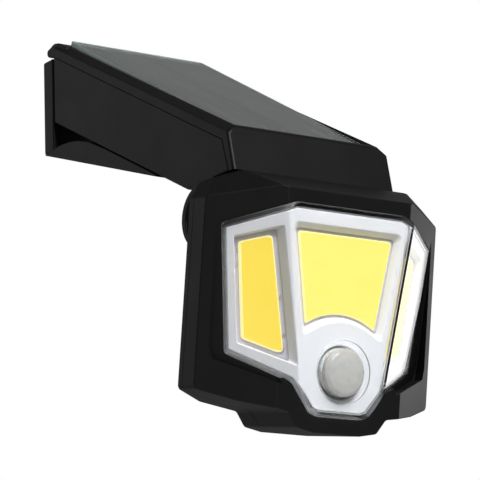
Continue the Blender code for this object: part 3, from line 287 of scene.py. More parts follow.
class Blank:
    """A closed solid that is being shaped, in local millimetres."""

    def __init__(self) -> None:
        """Start with nothing."""
        self.bm = bmesh.new()

    @classmethod
    def prism(cls, outline: Sequence[Point2], low: float, high: float, trims: Iterable[Trim] = ()) -> "Blank":
        """Extrude an outline along z and trim it.

        Args:
            outline: corners in the local x and y.
            low: lower end on z.
            high: upper end on z.
            trims: planes that cut the solid.

        Returns:
            The solid.
        """
        blank = cls()
        blank.loft([[(x, y, low) for x, y in outline], [(x, y, high) for x, y in outline]])
        for trim in trims:
            blank.trim(trim)
        return blank

    @classmethod
    def block(cls, low: Point3, high: Point3) -> "Blank":
        """Make a block between two corners."""
        outline = [(low[0], low[1]), (high[0], low[1]), (high[0], high[1]), (low[0], high[1])]
        return cls.prism(outline, low[2], high[2])

    @classmethod
    def turned(cls, profile: Sequence[Point2], sides: int = 64) -> "Blank":
        """Turn a profile of (radius, height), whose ends lie on the axis or which closes on itself.

        Args:
            profile: points from one end to the other.
            sides: number of sides.

        Returns:
            The solid.
        """
        blank = cls()
        rings: list[list[bmesh.types.BMVert]] = []
        for radius, height in profile:
            ring = []
            for index in range(1 if radius == 0 else sides):
                angle = math.tau * index / sides
                ring.append(blank.bm.verts.new((radius * math.cos(angle), radius * math.sin(angle), height)))
            rings.append(ring)
        closed = profile[0][0] > 0
        following = rings[1:] + ([rings[0]] if closed else [])
        for one, two in zip(rings, following):
            blank._band(one, two, sides)
        return blank._settle()

    def _band(self, one: list, two: list, sides: int) -> None:
        """Join two rings of a turned shape by faces."""
        for index in range(sides):
            after = (index + 1) % sides
            if len(one) == 1:
                self.bm.faces.new((one[0], two[index], two[after]))
            elif len(two) == 1:
                self.bm.faces.new((one[index], two[0], one[after]))
            else:
                self.bm.faces.new((one[index], two[index], two[after], one[after]))

    def loft(self, rings: Sequence[Sequence[Point3]]) -> "Blank":
        """Skin rings with the same number of points, and close both ends.

        Args:
            rings: the rings in order.

        Returns:
            This solid.
        """
        made = [[self.bm.verts.new(spot) for spot in ring] for ring in rings]
        for one, two in zip(made, made[1:]):
            for index in range(len(one)):
                after = (index + 1) % len(one)
                self.bm.faces.new((one[index], one[after], two[after], two[index]))
        self.bm.faces.new(list(reversed(made[0])))
        self.bm.faces.new(made[-1])
        return self._settle()

    def _settle(self) -> "Blank":
        """Make the faces point out."""
        bmesh.ops.recalc_face_normals(self.bm, faces=self.bm.faces)
        return self

    def trim(self, trim: Trim) -> "Blank":
        """Cut away what lies beyond a plane and close the cut."""
        geometry = list(self.bm.verts) + list(self.bm.edges) + list(self.bm.faces)
        bmesh.ops.bisect_plane(self.bm, geom=geometry, dist=0.001, plane_co=trim.point, plane_no=trim.normal,
                               clear_outer=True)
        rim = [edge for edge in self.bm.edges if edge.is_boundary]
        if rim:
            bmesh.ops.holes_fill(self.bm, edges=rim, sides=0)
        return self._settle()

    def soften(self, radius: float, where: EdgeTest | None = None, steps: int = 3,
               angle: float = 12.0) -> "Blank":
        """Round edges.

        Args:
            radius: radius in mm.
            where: test on an edge's middle and direction, or None for every edge.
            steps: spans across each rounded edge.
            angle: edges flatter than this many degrees stay.

        Returns:
            This solid.
        """
        chosen = []
        for edge in self.bm.edges:
            if edge.calc_face_angle(0) < math.radians(angle):
                continue
            one, two = (vert.co for vert in edge.verts)
            if where is None or where((one + two) / 2, (two - one).normalized()):
                chosen.append(edge)
        bmesh.ops.bevel(self.bm, geom=chosen, offset=radius, offset_type="OFFSET", segments=steps,
                        profile=0.5, affect="EDGES", clamp_overlap=True)
        return self._settle()

    def moved(self, matrix: Matrix) -> "Blank":
        """Move the solid in its local frame."""
        bmesh.ops.transform(self.bm, matrix=matrix, verts=self.bm.verts)
        return self

    def made(self, name: str, place: Matrix) -> bpy.types.Object:
        """Turn the solid into an object in the row frame.

        Args:
            name: the object's name.
            place: local millimetres to metres.

        Returns:
            The object.
        """
        bmesh.ops.transform(self.bm, matrix=place, verts=self.bm.verts)
        mesh = bpy.data.meshes.new(name)
        self.bm.to_mesh(mesh)
        self.bm.free()
        item = bpy.data.objects.new(name, mesh)
        bpy.context.scene.collection.objects.link(item)
        return item


TURNS = {
    "x": Matrix.Rotation(math.radians(90), 4, "Y"),
    "y": Matrix.Rotation(math.radians(-90), 4, "X"),
    "z": Matrix.Identity(4),
}


def rod(centre: Point3, radius: float, low: float, high: float, axis: str = "z", sides: int = 48,
        edge: float = 0.0) -> Blank:
    """Make a cylinder along an axis, with rounded rims if asked.

    Args:
        centre: a point on the axis.
        radius: radius in mm.
        low: lower end, counted from the centre.
        high: upper end, counted from the centre.
        axis: x, y or z.
        sides: number of sides.
        edge: radius of the rims.

    Returns:
        The cylinder.
    """
    if edge:
        rims = [*arc((radius - edge, low + edge), edge, -90, 0, 4),
                *arc((radius - edge, high - edge), edge, 0, 90, 4)]
        profile = [(0.0, low), *rims, (0.0, high)]
    else:
        profile = [(0.0, low), (radius, low), (radius, high), (0.0, high)]
    return Blank.turned(profile, sides).moved(Matrix.Translation(centre) @ TURNS[axis])


class Bench:
    """Joins and cuts solids that lie in one local frame."""

    def __init__(self, name: str, place: Matrix, base: Blank) -> None:
        """Start from a base solid.

        Args:
            name: name of the finished piece.
            place: local millimetres to metres.
            base: the first solid.
        """
        self.place = place
        self.item = base.made(name, place)
        self.tools: list[bpy.types.Object] = []

    def _step(self, tool: bpy.types.Object, operation: str) -> "Bench":
        """Add one Boolean step."""
        step = self.item.modifiers.new("step", "BOOLEAN")
        step.operation = operation
        step.solver = "EXACT"
        step.object = tool
        self.tools.append(tool)
        return self

    def join(self, *blanks: Blank, place: Matrix | None = None) -> "Bench":
        """Join solids to the piece."""
        for blank in blanks:
            self._step(blank.made("tool", place or self.place), "UNION")
        return self

    def cut(self, *blanks: Blank, place: Matrix | None = None) -> "Bench":
        """Cut solids from the piece."""
        for blank in blanks:
            self._step(blank.made("tool", place or self.place), "DIFFERENCE")
        return self

    def cut_with(self, tool: bpy.types.Object) -> "Bench":
        """Cut a finished object from the piece."""
        return self._step(tool, "DIFFERENCE")

    def done(self) -> bpy.types.Object:
        """Apply the steps and merge flat faces.

        Returns:
            The piece.
        """
        bpy.context.view_layer.update()
        graph = bpy.context.evaluated_depsgraph_get()
        mesh = bpy.data.meshes.new_from_object(self.item.evaluated_get(graph))
        self.item.modifiers.clear()
        self.item.data = mesh
        for tool in self.tools:
            bpy.data.objects.remove(tool, do_unlink=True)
        bm = bmesh.new()
        bm.from_mesh(mesh)
        bmesh.ops.remove_doubles(bm, verts=bm.verts, dist=0.000002)
        bmesh.ops.dissolve_limit(bm, angle_limit=math.radians(0.4), verts=bm.verts, edges=bm.edges)
        bm.to_mesh(mesh)
        bm.free()
        return self.item


# ================================================================ shader graphs
class Graph:
    """Nodes of one material."""

    def __init__(self, name: str) -> None:
        """Start an empty material with an output."""
        self.material = bpy.data.materials.new(name)
        self.material.use_nodes = True
        self.tree = self.material.node_tree
        self.tree.nodes.clear()
        self.output = self.tree.nodes.new("ShaderNodeOutputMaterial")

    def node(self, kind: str, settings: dict[str, object] | None = None, **inputs: object) -> bpy.types.Node:
        """Add a node.

        Args:
            kind: the node's type without the ShaderNode prefix.
            settings: attributes set before the inputs; ramp lists a ramp's stops.
            **inputs: values or links by socket name, or in0, in1 by number.

        Returns:
            The node.
        """
        node = self.tree.nodes.new("ShaderNode" + kind)
        for key, value in (settings or {}).items():
            if key == "ramp":
                self._stops(node, value)
            else:
                setattr(node, key, value)
        for key, value in inputs.items():
            socket = node.inputs[int(key[2:])] if key[:2] == "in" and key[2:].isdigit() else node.inputs[
                key.replace("_", " ")]
            self.put(socket, value)
        return node

    @staticmethod
    def _stops(node: bpy.types.Node, stops: Sequence[tuple[float, Colour]]) -> None:
        """Set a ramp's stops."""
        elements = node.color_ramp.elements
        while len(elements) < len(stops):
            elements.new(1.0)
        for element, (position, colour) in zip(elements, stops):
            element.position = position
            element.color = (*colour, 1.0)

    def put(self, socket: bpy.types.NodeSocket, value: object) -> None:
        """Set a socket to a value, or link it."""
        if isinstance(value, Value):
            self.tree.links.new(value.socket, socket)
        elif isinstance(value, bpy.types.NodeSocket):
            self.tree.links.new(value, socket)
        elif isinstance(value, tuple) and len(value) == 3 and socket.type == "RGBA":
            socket.default_value = (*value, 1.0)
        else:
            socket.default_value = value

    def place(self) -> bpy.types.NodeSocket:
        """Position in the piece's own coordinates, in metres."""
        return self.node("TexCoord").outputs["Object"]

    def axes(self) -> "list[Value]":
        """Coordinates X, Y and Z of that position, one value each."""
        return [Value(self, socket) for socket in self.node("SeparateXYZ", Vector=self.place()).outputs]

    def noise(self, per_metre: float, detail: float = 2.0, roughness: float = 0.5) -> "Value":
        """Noise from 0 to 1.

        Args:
            per_metre: features in a metre.
            detail: octaves.
            roughness: weight of the finer octaves.

        Returns:
            The noise.
        """
        node = self.node("TexNoise", Vector=self.place(), Scale=per_metre, Detail=detail, Roughness=roughness)
        return Value(self, node.outputs[0])

    def mix(self, share: "Value", one: Colour | bpy.types.NodeSocket, two: Colour) -> bpy.types.NodeSocket:
        """Blend two colours by a share."""
        node = self.node("Mix", {"data_type": "RGBA"}, in0=share)
        self.put(node.inputs[6], one)
        self.put(node.inputs[7], two)
        return node.outputs[2]

    def bump(self, height: "Value", distance: float, strength: float = 1.0) -> bpy.types.NodeSocket:
        """Turn a height from 0 to 1 into a normal.

        Args:
            height: the height.
            distance: depth of the relief in metres.
            strength: share of the effect.

        Returns:
            The normal.
        """
        return self.node("Bump", Height=height, Distance=distance, Strength=strength).outputs[0]

    def shade(self, **inputs: object) -> bpy.types.Node:
        """Add a Principled shader and make it the surface."""
        shader = self.node("BsdfPrincipled", **inputs)
        self.tree.links.new(shader.outputs[0], self.output.inputs["Surface"])
        return shader


@dataclass(frozen=True)
class Value:
    """A number that varies over a surface, with arithmetic."""

    graph: Graph
    socket: bpy.types.NodeSocket

    def _math(self, operation: str, *operands: "Value | float", clamp: bool = False) -> "Value":
        """Add one Math node."""
        node = self.graph.node("Math", {"operation": operation, "use_clamp": clamp})
        for socket, operand in zip(node.inputs, operands):
            self.graph.put(socket, operand)
        return Value(self.graph, node.outputs[0])

    def __add__(self, other: "Value | float") -> "Value":
        """Sum."""
        return self._math("ADD", self, other)

    __radd__ = __add__

    def __sub__(self, other: "Value | float") -> "Value":
        """Difference."""
        return self._math("SUBTRACT", self, other)

    def __rsub__(self, other: float) -> "Value":
        """Difference from a number."""
        return self._math("SUBTRACT", other, self)

    def __mul__(self, other: "Value | float") -> "Value":
        """Product."""
        return self._math("MULTIPLY", self, other)

    __rmul__ = __mul__

    def __truediv__(self, other: "Value | float") -> "Value":
        """Quotient."""
        return self._math("DIVIDE", self, other)

    def __lt__(self, other: float) -> "Value":
        """1 where the value is under a number."""
        return self._math("LESS_THAN", self, other)

    def __gt__(self, other: float) -> "Value":
        """1 where the value is over a number."""
        return self._math("GREATER_THAN", self, other)

    def __abs__(self) -> "Value":
        """Distance from 0."""
        return self._math("ABSOLUTE", self)

    def clamped(self) -> "Value":
        """The value held between 0 and 1."""
        return self._math("ADD", self, 0.0, clamp=True)

    def larger(self, other: "Value | float") -> "Value":
        """The larger of two values."""
        return self._math("MAXIMUM", self, other)

    def ripple(self, period: float) -> "Value":
        """Distance, in periods, from the nearest multiple of a period: 0 on it and 0.5 halfway."""
        return self._math("PINGPONG", self / period, 0.5)


# ================================================================ finishes
@dataclass(frozen=True)
class MouldedPlastic:
    """Opaque moulded plastic or rubber with a fine eroded texture."""

    name: str
    colour: Colour
    roughness: float = 0.5
    grain_per_metre: float = 1500.0
    relief: float = 0.00003
    sheen: float = 0.45
    mottle: float = 0.18

    def material(self) -> bpy.types.Material:
        """Build the material."""
        graph = Graph(self.name)
        fine = graph.noise(self.grain_per_metre, 3.0, 0.6)
        broad = graph.noise(45.0, 3.0, 0.55)
        dark = tuple(c * (1 - self.mottle) for c in self.colour)
        light = tuple(c * (1 + self.mottle) for c in self.colour)
        graph.shade(
            Base_Color=graph.mix(broad * 0.6 + fine * 0.4, dark, light),
            Roughness=(broad - 0.5) * 0.14 + (fine - 0.5) * 0.1 + self.roughness,
            Specular_IOR_Level=self.sheen,
            Normal=graph.bump(fine, self.relief),
        )
        return graph.material


@dataclass(frozen=True)
class ClearPlastic:
    """Clear glass or polycarbonate that lets light through to what is behind it."""

    name: str
    tint: Colour
    ior: float = 1.49
    roughness: float = 0.03
    clearness: float = 1.0

    def material(self) -> bpy.types.Material:
        """Build the material."""
        graph = Graph(self.name)
        wave = graph.noise(28.0, 1.0)
        shader = graph.node("BsdfPrincipled", Base_Color=self.tint, Transmission_Weight=self.clearness,
                            IOR=self.ior, Roughness=wave * 0.02 + self.roughness,
                            Normal=graph.bump(wave, 0.00004))
        clear = graph.node("BsdfTransparent", Color=self.tint)
        shadow = graph.node("LightPath").outputs["Is Shadow Ray"]
        mixed = graph.node("MixShader", in0=shadow, in1=shader.outputs[0], in2=clear.outputs[0])
        graph.put(graph.output.inputs["Surface"], mixed.outputs[0])
        return graph.material


@dataclass(frozen=True)
class SawnEdge:
    """Ground edge of the solar glass, pale and greenish."""

    name: str = "ground_glass_edge"
    colour: Colour = (0.62, 0.74, 0.69)

    def material(self) -> bpy.types.Material:
        """Build the material."""
        graph = Graph(self.name)
        scratches = graph.noise(2600.0, 2.0)
        pale = tuple(min(1.0, c * 1.25) for c in self.colour)
        graph.shade(Base_Color=graph.mix(scratches, self.colour, pale), Roughness=scratches * 0.2 + 0.3,
                    Normal=graph.bump(scratches, 0.00002))
        return graph.material


@dataclass(frozen=True)
class SolarSilicon:
    """Dark silicon cells with fine fingers across and wider bars along the slope."""

    name: str = "solar_silicon"
    dark: Colour = (0.010, 0.011, 0.016)
    light: Colour = (0.020, 0.022, 0.032)
    silver: Colour = (0.20, 0.20, 0.21)
    finger_pitch: float = 0.0021
    bar_pitch: float = 0.0110
    slope: float = 30.1

    def material(self) -> bpy.types.Material:
        """Build the material."""
        graph = Graph(self.name)
        across, level, _height = graph.axes()
        along = level / math.cos(math.radians(self.slope))
        fingers = along.ripple(self.finger_pitch) < 0.035
        bars = across.ripple(self.bar_pitch) < 0.045
        lines = (fingers * 0.5).larger(bars)
        base = graph.mix(graph.noise(240.0, 3.0), self.dark, self.light)
        graph.shade(Base_Color=graph.mix(lines, base, self.silver), Roughness=lines * 0.2 + 0.28,
                    Normal=graph.bump(lines, 0.00002))
        return graph.material


@dataclass(frozen=True)
class SatinWhite:
    """White injection-moulded plastic with a satin skin."""

    name: str
    colour: Colour
    roughness: float = 0.34

    def material(self) -> bpy.types.Material:
        """Build the material."""
        graph = Graph(self.name)
        flow = graph.noise(70.0, 3.0)
        fine = graph.noise(2200.0, 2.0)
        dark = tuple(c * 0.97 for c in self.colour)
        graph.shade(Base_Color=graph.mix(flow, dark, self.colour), Roughness=flow * 0.08 + self.roughness,
                    Normal=graph.bump(fine, 0.000012))
        return graph.material


@dataclass(frozen=True)
class LitPhosphor:
    """Lit yellow phosphor gel over rows of small chips."""

    name: str
    skin: Colour
    glow: Colour
    hot: Colour
    strength: float = 0.8
    chip_pitch: float = 0.0026

    def material(self) -> bpy.types.Material:
        """Build the material."""
        graph = Graph(self.name)
        x, _y, z = graph.axes()
        across, up = x.ripple(self.chip_pitch), z.ripple(self.chip_pitch)
        chips = (1.0 - (across * across + up * up) * 5.0).clamped()
        cloud = graph.noise(120.0, 3.0)
        share = (chips * 0.16 + cloud * 0.84).clamped()
        graph.shade(
            Base_Color=self.skin,
            Roughness=cloud * 0.1 + 0.35,
            Emission_Color=graph.mix(share, self.glow, self.hot),
            Emission_Strength=self.strength,
            Normal=graph.bump(cloud, 0.00005),
        )
        return graph.material


@dataclass(frozen=True)
class MilkyLens:
    """Thin milky polyethylene of the motion sensor's lens."""

    name: str = "milky_lens"
    colour: Colour = (0.78, 0.78, 0.75)

    def material(self) -> bpy.types.Material:
        """Build the material."""
        graph = Graph(self.name)
        cloud = graph.noise(330.0, 3.0)
        pale = tuple(c * 1.12 for c in self.colour)
        graph.shade(Base_Color=graph.mix(cloud, self.colour, pale), Roughness=cloud * 0.12 + 0.22,
                    Subsurface_Weight=0.25, Subsurface_Scale=0.002, Normal=graph.bump(cloud, 0.00005))
        return graph.material


@dataclass(frozen=True)
class PlatedSteel:
    """Zinc-plated steel of screws and contacts."""

    name: str = "plated_steel"
    colour: Colour = (0.56, 0.56, 0.57)

    def material(self) -> bpy.types.Material:
        """Build the material."""
        graph = Graph(self.name)
        marks = graph.noise(1900.0, 4.0, 0.7)
        dull = tuple(c * 0.7 for c in self.colour)
        graph.shade(Base_Color=graph.mix(marks, dull, self.colour), Metallic=1.0,
                    Roughness=marks * 0.25 + 0.24, Normal=graph.bump(marks, 0.00001))
        return graph.material


@dataclass(frozen=True)
class PrintedBoard:
    """Circuit board with solder mask, tracks and pads."""

    name: str
    mask: Colour
    track: Colour
    pad: Colour
    pitch: float = 0.0032

    def material(self) -> bpy.types.Material:
        """Build the material."""
        graph = Graph(self.name)
        x, y, z = graph.axes()
        across, along = x.ripple(self.pitch), (y + z).ripple(self.pitch * 1.4)
        tracks = (across < 0.13) * (graph.noise(90.0, 0.0) > 0.46)
        pads = (across < 0.2) * (along < 0.16) * (graph.noise(60.0, 0.0) > 0.55)
        masked = graph.mix(tracks, self.mask, self.track)
        graph.shade(Base_Color=graph.mix(pads, masked, self.pad), Roughness=0.42 - pads * 0.12,
                    Metallic=pads * 0.8, Normal=graph.bump(tracks.larger(pads), 0.00003))
        return graph.material


@dataclass(frozen=True)
class Finishes:
    """Every finish of the lamp, built once."""

    black: bpy.types.Material
    glass: bpy.types.Material
    glass_edge: bpy.types.Material
    silicon: bpy.types.Material
    backer: bpy.types.Material
    rubber: bpy.types.Material
    cover: bpy.types.Material
    cover_wall: bpy.types.Material
    white: bpy.types.Material
    light_board: bpy.types.Material
    phosphor: bpy.types.Material
    side_phosphor: bpy.types.Material
    phosphor_rim: bpy.types.Material
    lens: bpy.types.Material
    steel: bpy.types.Material
    circuit: bpy.types.Material
    black_part: bpy.types.Material
    battery: bpy.types.Material
    nylon: bpy.types.Material
    lead: bpy.types.Material


def build_finishes() -> Finishes:
    """Build every finish."""
    yellow, pale_yellow = (0.36, 0.29, 0.035), (0.38, 0.33, 0.09)
    return Finishes(
        black=MouldedPlastic("black_abs", (0.0072, 0.0072, 0.0074), 0.44, sheen=0.30).material(),
        glass=ClearPlastic("solar_cover_glass", (0.93, 0.97, 0.95), 1.52, 0.05).material(),
        glass_edge=SawnEdge().material(),
        silicon=SolarSilicon().material(),
        backer=MouldedPlastic("panel_backer_board", (0.84, 0.84, 0.82), 0.6, 900.0).material(),
        rubber=MouldedPlastic("silicone_rubber", (0.022, 0.022, 0.023), 0.7, 1100.0, 0.00005).material(),
        cover=ClearPlastic("clear_polycarbonate", (0.985, 0.99, 0.995), 1.45, 0.012).material(),
        cover_wall=ClearPlastic("clear_polycarbonate_wall", (0.93, 0.935, 0.94), 1.45, 0.42, 0.62).material(),
        white=SatinWhite("white_reflector_plastic", (0.80, 0.81, 0.84)).material(),
        light_board=PrintedBoard("pale_light_board", (0.60, 0.585, 0.66), (0.63, 0.615, 0.69),
                                 (0.66, 0.65, 0.70)).material(),
        phosphor=LitPhosphor("lit_phosphor_centre", pale_yellow, (1.0, 0.76, 0.12),
                             (1.0, 0.80, 0.17)).material(),
        side_phosphor=LitPhosphor("lit_phosphor_side", yellow, (0.93, 0.69, 0.06),
                                  (0.95, 0.74, 0.09)).material(),
        phosphor_rim=LitPhosphor("phosphor_rim", pale_yellow, (1.0, 0.92, 0.42),
                                 (1.0, 0.95, 0.55)).material(),
        lens=MilkyLens().material(),
        steel=PlatedSteel().material(),
        circuit=PrintedBoard("green_circuit_board", (0.012, 0.10, 0.045), (0.03, 0.19, 0.09),
                             (0.62, 0.55, 0.38)).material(),
        black_part=MouldedPlastic("black_component", (0.022, 0.022, 0.024), 0.5, 1300.0).material(),
        battery=MouldedPlastic("blue_battery_wrap", (0.03, 0.14, 0.42), 0.3, 500.0, 0.00002).material(),
        nylon=MouldedPlastic("white_nylon", (0.68, 0.68, 0.65), 0.5, 1000.0).material(),
        lead=MouldedPlastic("black_lead_jacket", (0.02, 0.02, 0.02), 0.55, 700.0).material(),
    )


# ================================================================ assembly
def smooth(piece: bpy.types.Object, angle: float = 34.0) -> None:
    """Shade a piece smooth with crisp edges, and let its flat faces stay flat.

    Args:
        piece: the piece.
        angle: edges sharper than this many degrees stay crisp.
    """
    piece.data.shade_smooth()
    piece.data.set_sharp_from_angle(angle=math.radians(angle))
    weigh = piece.modifiers.new("even_normals", "WEIGHTED_NORMAL")
    weigh.keep_sharp = True


def install(piece: bpy.types.Object, body: Body, slot: Slot, finish: bpy.types.Material, *nodes: str) -> None:
    """Dress a piece, hang it on a body and let it stand for its nodes.

    Args:
        piece: the piece.
        body: body that it moves with.
        slot: material slot of the record; not used.
        finish: material of the whole piece.
        *nodes: nodes that it replaces.
    """
    if not piece.data.materials:
        piece.data.materials.append(finish)
    smooth(piece)
    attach(piece, body.value)
    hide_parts(*nodes)
    log.info("%s: %d faces, rides on %s", piece.name, len(piece.data.polygons), body.value)


def dress(node: str, finish: bpy.types.Material) -> None:
    """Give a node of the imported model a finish."""
    item = frame["nodes"][node]
    if not item.material_slots:
        item.data.materials.append(finish)
    for held in item.material_slots:
        held.material = finish


def two_toned(piece: bpy.types.Object, first: bpy.types.Material, second: bpy.types.Material,
              is_second: Callable[[bpy.types.MeshPolygon], bool]) -> None:
    """Give some faces of a piece a second finish.

    Args:
        piece: the piece.
        first: finish of most faces.
        second: finish of the chosen faces.
        is_second: test that chooses them.
    """
    piece.data.materials.append(first)
    piece.data.materials.append(second)
    for face in piece.data.polygons:
        face.material_index = 1 if is_second(face) else 0


@dataclass(frozen=True)
class Fits:
    """Clearances and shared hardware sizes in mm."""

    gap: float = 0.3
    bore: float = 0.4
    reach: float = 40.0
    screw_r: float = 1.25
    screw_head_r: float = 2.8
    screw_head: float = 2.0
    post_r: float = 3.2
    lead_r: float = 1.6

    @property
    def screw_bore(self) -> float:
        """Radius of a hole for a screw's shank."""
        return self.screw_r + self.bore

    @property
    def head_bore(self) -> float:
        """Radius of a hole for a screw's head."""
        return self.screw_head_r + self.bore

    @property
    def lead_bore(self) -> float:
        """Radius of a hole for a lead."""
        return self.lead_r + self.bore


FIT = Fits()


@dataclass(frozen=True)
class Housing:
    """Solar housing: a cover over a tray, on the sloping underside that the bracket carries."""

    half_width: float = 42.8
    rear_y: float = -10.2
    wall: float = 2.3
    bezel: Slope = Slope((0.0, 37.1), 0.5432)
    bottom: Slope = Slope((-10.2, -9.4), 0.53)
    bezel_rear_y: float = -13.0
    hook_half: float = 41.0
    edge_r: float = 0.9
    seam_r: float = 0.35
    brow_r: float = 1.5
    bezel_front_y: float = -160.2
    bezel_half_width: float = 38.1
    chamfer_drop: float = 3.2
    seam_drop: float = 7.8
    border: float = 3.6
    front_lean: float = 4.4
    slope_stretch: float = 1.13
    floor_z: float = -71.0
    slot_z: float = 24.2
    glass_half_width: float = 37.0
    glass_length: float = 160.0
    glass_thickness: float = 2.6
    glass_slope: float = 30.1
    glass_rear: Point2 = (-18.2, 30.4)
    seal_thickness: float = 1.0
    seal_width: float = 2.6
    ledge: float = 2.0
    lug_r: float = 12.0
    lug_neck: float = 8.5
    lug_inner_x: float = 30.8
    pivot_r: float = 2.0
    tray_screws: tuple[Point2, ...] = ((-37.0, -20.0), (37.0, -20.0), (-37.0, -114.0), (37.0, -114.0))
    post_meet: float = 12.0
    screw_seat: float = 6.0
    tray_screw_grip: float = 6.0
    arm_screw_x: float = 18.0
    arm_screw_y: float = -74.0
    arm_boss: float = 9.0

    @property
    def floor_break_y(self) -> float:
        """Y where the sloping underside meets the flat floor."""
        return self.bottom.start[0] + (self.floor_z - self.bottom.start[1]) / self.bottom.rise

    @property
    def front_foot_y(self) -> float:
        """Y of the front face at the floor."""
        return self.bezel_front_y - self.front_lean

    def joint_z(self, y: float) -> float:
        """Height of the joint between cover and tray."""
        return self.bezel.at(y) - self.seam_drop

    def panel_z(self, y: float) -> float:
        """Height of the glass's outer face."""
        return self.glass_rear[1] + math.tan(math.radians(self.glass_slope)) * (y - self.glass_rear[0])

    def tray(self, places: Places, finishes: Finishes, hinge: Point2) -> None:
        """Build the lower tray with its hinge lugs.

        Args:
            places: local frames.
            finishes: materials.
            hinge: Y and Z of the tilt axis.
        """
        gap, wall = FIT.gap, self.wall
        front_top = self.bezel_front_y + self.border
        inner_rear_y = self.rear_y - 5.0
        outline = [(self.rear_y, self.slot_z - 0.6 - gap), (inner_rear_y, self.joint_z(inner_rear_y) - gap),
                   (front_top, self.joint_z(front_top) - gap),
                   (self.front_foot_y + self.border + gap, self.floor_z), (self.floor_break_y, self.floor_z),
                   self.bottom.start]
        shell = Blank.prism(outline, -self.half_width, self.half_width)
        shell.soften(self.edge_r, lambda mid, way: abs(way.z) < 0.5 and mid.y < self.joint_z(mid.x) - 4.0)
        shell.soften(self.seam_r, lambda mid, way: abs(way.z) < 0.5 and mid.y > self.joint_z(mid.x) - 4.0)
        bench = Bench("tray_shell", places.side, shell)
        half = self.half_width - wall
        rear_y, far_y = self.rear_y - wall, self.front_foot_y - FIT.reach
        rear_z, floor_z = self.bottom.at(rear_y) + wall * self.slope_stretch, self.floor_z + wall
        inside = [(rear_y, FIT.reach), (rear_y, rear_z), (self.floor_break_y + 1.0, floor_z),
                  (far_y, floor_z), (far_y, FIT.reach)]
        bench.cut(Blank.prism(inside, -half, half))
        for side in Side:
            low, high = sorted((side * self.lug_inner_x, side * self.half_width))
            bench.join(rod((*hinge, 0), self.lug_r, low, high, sides=72, edge=0.5))
            bench.join(Blank.block((hinge[0] - self.lug_neck, hinge[1], low + 0.02),
                                   (hinge[0] + self.lug_neck, self.floor_z + wall / 2, high - 0.02)).soften(
                0.5, lambda mid, way: abs(way.y) > 0.5))
            bench.cut(rod((*hinge, 0), self.pivot_r + FIT.bore, low - 1, high + 1))
        for x, y in self.tray_screws:
            top = self.joint_z(y) - self.post_meet - gap
            seat = self.bottom.at(y) + self.screw_seat
            foot = self.bottom.at(y) + wall / 2
            bench.join(rod((x, y, 0), FIT.post_r + 1.0, foot, top), place=places.world)
            bench.cut(rod((x, y, 0), FIT.screw_bore, seat - FIT.reach, top + 1), place=places.world)
            bench.cut(rod((x, y, 0), FIT.head_bore, seat - FIT.reach, seat - gap), place=places.world)
        for side in Side:
            spot = (side * self.arm_screw_x, 0, 0)
            bench.join(rod(spot, FIT.post_r + 0.8, wall / 2, self.arm_boss), place=places.underside)
            bench.cut(rod(spot, FIT.screw_bore, -3, self.arm_boss + 1), place=places.underside)
        bench.cut(rod((0, hinge[0], 0), FIT.lead_bore, self.floor_z - 2, self.floor_z + wall + 2),
                  place=places.world)
        install(bench.done(), Body.ROOT, Slot.HOUSING, finishes.black, "lower_tray")

    def hook_outline(self) -> list[Point2]:
        """Side outline of the hook that hangs over the bracket's top."""
        crown, tip = arc((-7.6, 25.2), 6.2, 96, 60, 4), arc((-2.9, 28.1), 2.35, 50, -75, 8)
        root_y = -19.0
        return [(root_y, self.bezel.at(root_y) - 0.6), (-13.2, 29.6), (-11.0, 30.75), *crown, *tip,
                (-4.6, 25.5), (-8.6, 24.5), (-10.2, 24.0), (-12.0, 22.0), (root_y, 21.0)]

    def cover(self, places: Places, finishes: Finishes) -> None:
        """Build the top cover with its bezel, front wall and hook.

        Args:
            places: local frames.
            finishes: materials.
        """
        wall, foot = self.wall, self.front_foot_y
        front_top = self.bezel_front_y + self.border
        inner_rear_y = self.rear_y - 5.0
        outline = [(self.bezel_rear_y + 0.6, self.bezel.at(self.bezel_rear_y)),
                   (self.bezel_front_y, self.bezel.at(self.bezel_front_y)), (foot, self.floor_z),
                   (foot + self.border, self.floor_z), (front_top, self.joint_z(front_top)),
                   (inner_rear_y, self.joint_z(inner_rear_y)), (self.rear_y, self.slot_z - 0.6),
                   (self.rear_y, 28.0)]
        slope = Vector((self.bezel.rise, -1.0)).normalized()
        across = self.half_width - self.bezel_half_width
        trims = []
        for side in Side:
            normal = (-slope.x * across, -slope.y * across, side * self.chamfer_drop * abs(slope.y))
            start = (self.bezel_front_y, self.bezel.at(self.bezel_front_y), side * self.bezel_half_width)
            trims.append(Trim(start, normal))
        shell = Blank.prism(outline, -self.half_width, self.half_width, trims)
        shell.soften(self.brow_r, lambda mid, way: mid.x < self.bezel_front_y + 1.0
                     and mid.y > self.floor_z + 1.0)
        shell.soften(self.edge_r, lambda mid, way: abs(way.z) < 0.3 and mid.y > self.joint_z(mid.x) + 1.5
                     and mid.x > self.bezel_front_y + 1.0)
        bench = Bench("bezel_cover", places.side, shell)
        hook = Blank.prism(self.hook_outline(), -self.hook_half, self.hook_half)
        bench.join(hook.soften(0.7, lambda mid, way: abs(way.z) < 0.3))
        cosine = math.cos(math.radians(self.glass_slope))
        recess_floor = -(self.glass_thickness + self.seal_thickness + 2 * FIT.gap)
        depth = self.ledge + FIT.gap - recess_floor
        rear_y = self.rear_y - wall
        front_y, foot_y, below = self.bezel_front_y + wall, foot + wall + 0.6, self.floor_z - FIT.reach
        roof = [(rear_y, self.panel_z(rear_y) - depth / cosine), (rear_y, below), (foot_y, below),
                (foot_y, self.floor_z), (front_y, self.panel_z(front_y) - depth / cosine)]
        half = self.half_width - wall
        bench.cut(Blank.prism(roof, -half, half))
        edge = self.glass_half_width + FIT.gap
        recess = Blank.block((-edge, -self.glass_length - FIT.gap, recess_floor), (edge, FIT.gap, FIT.reach))
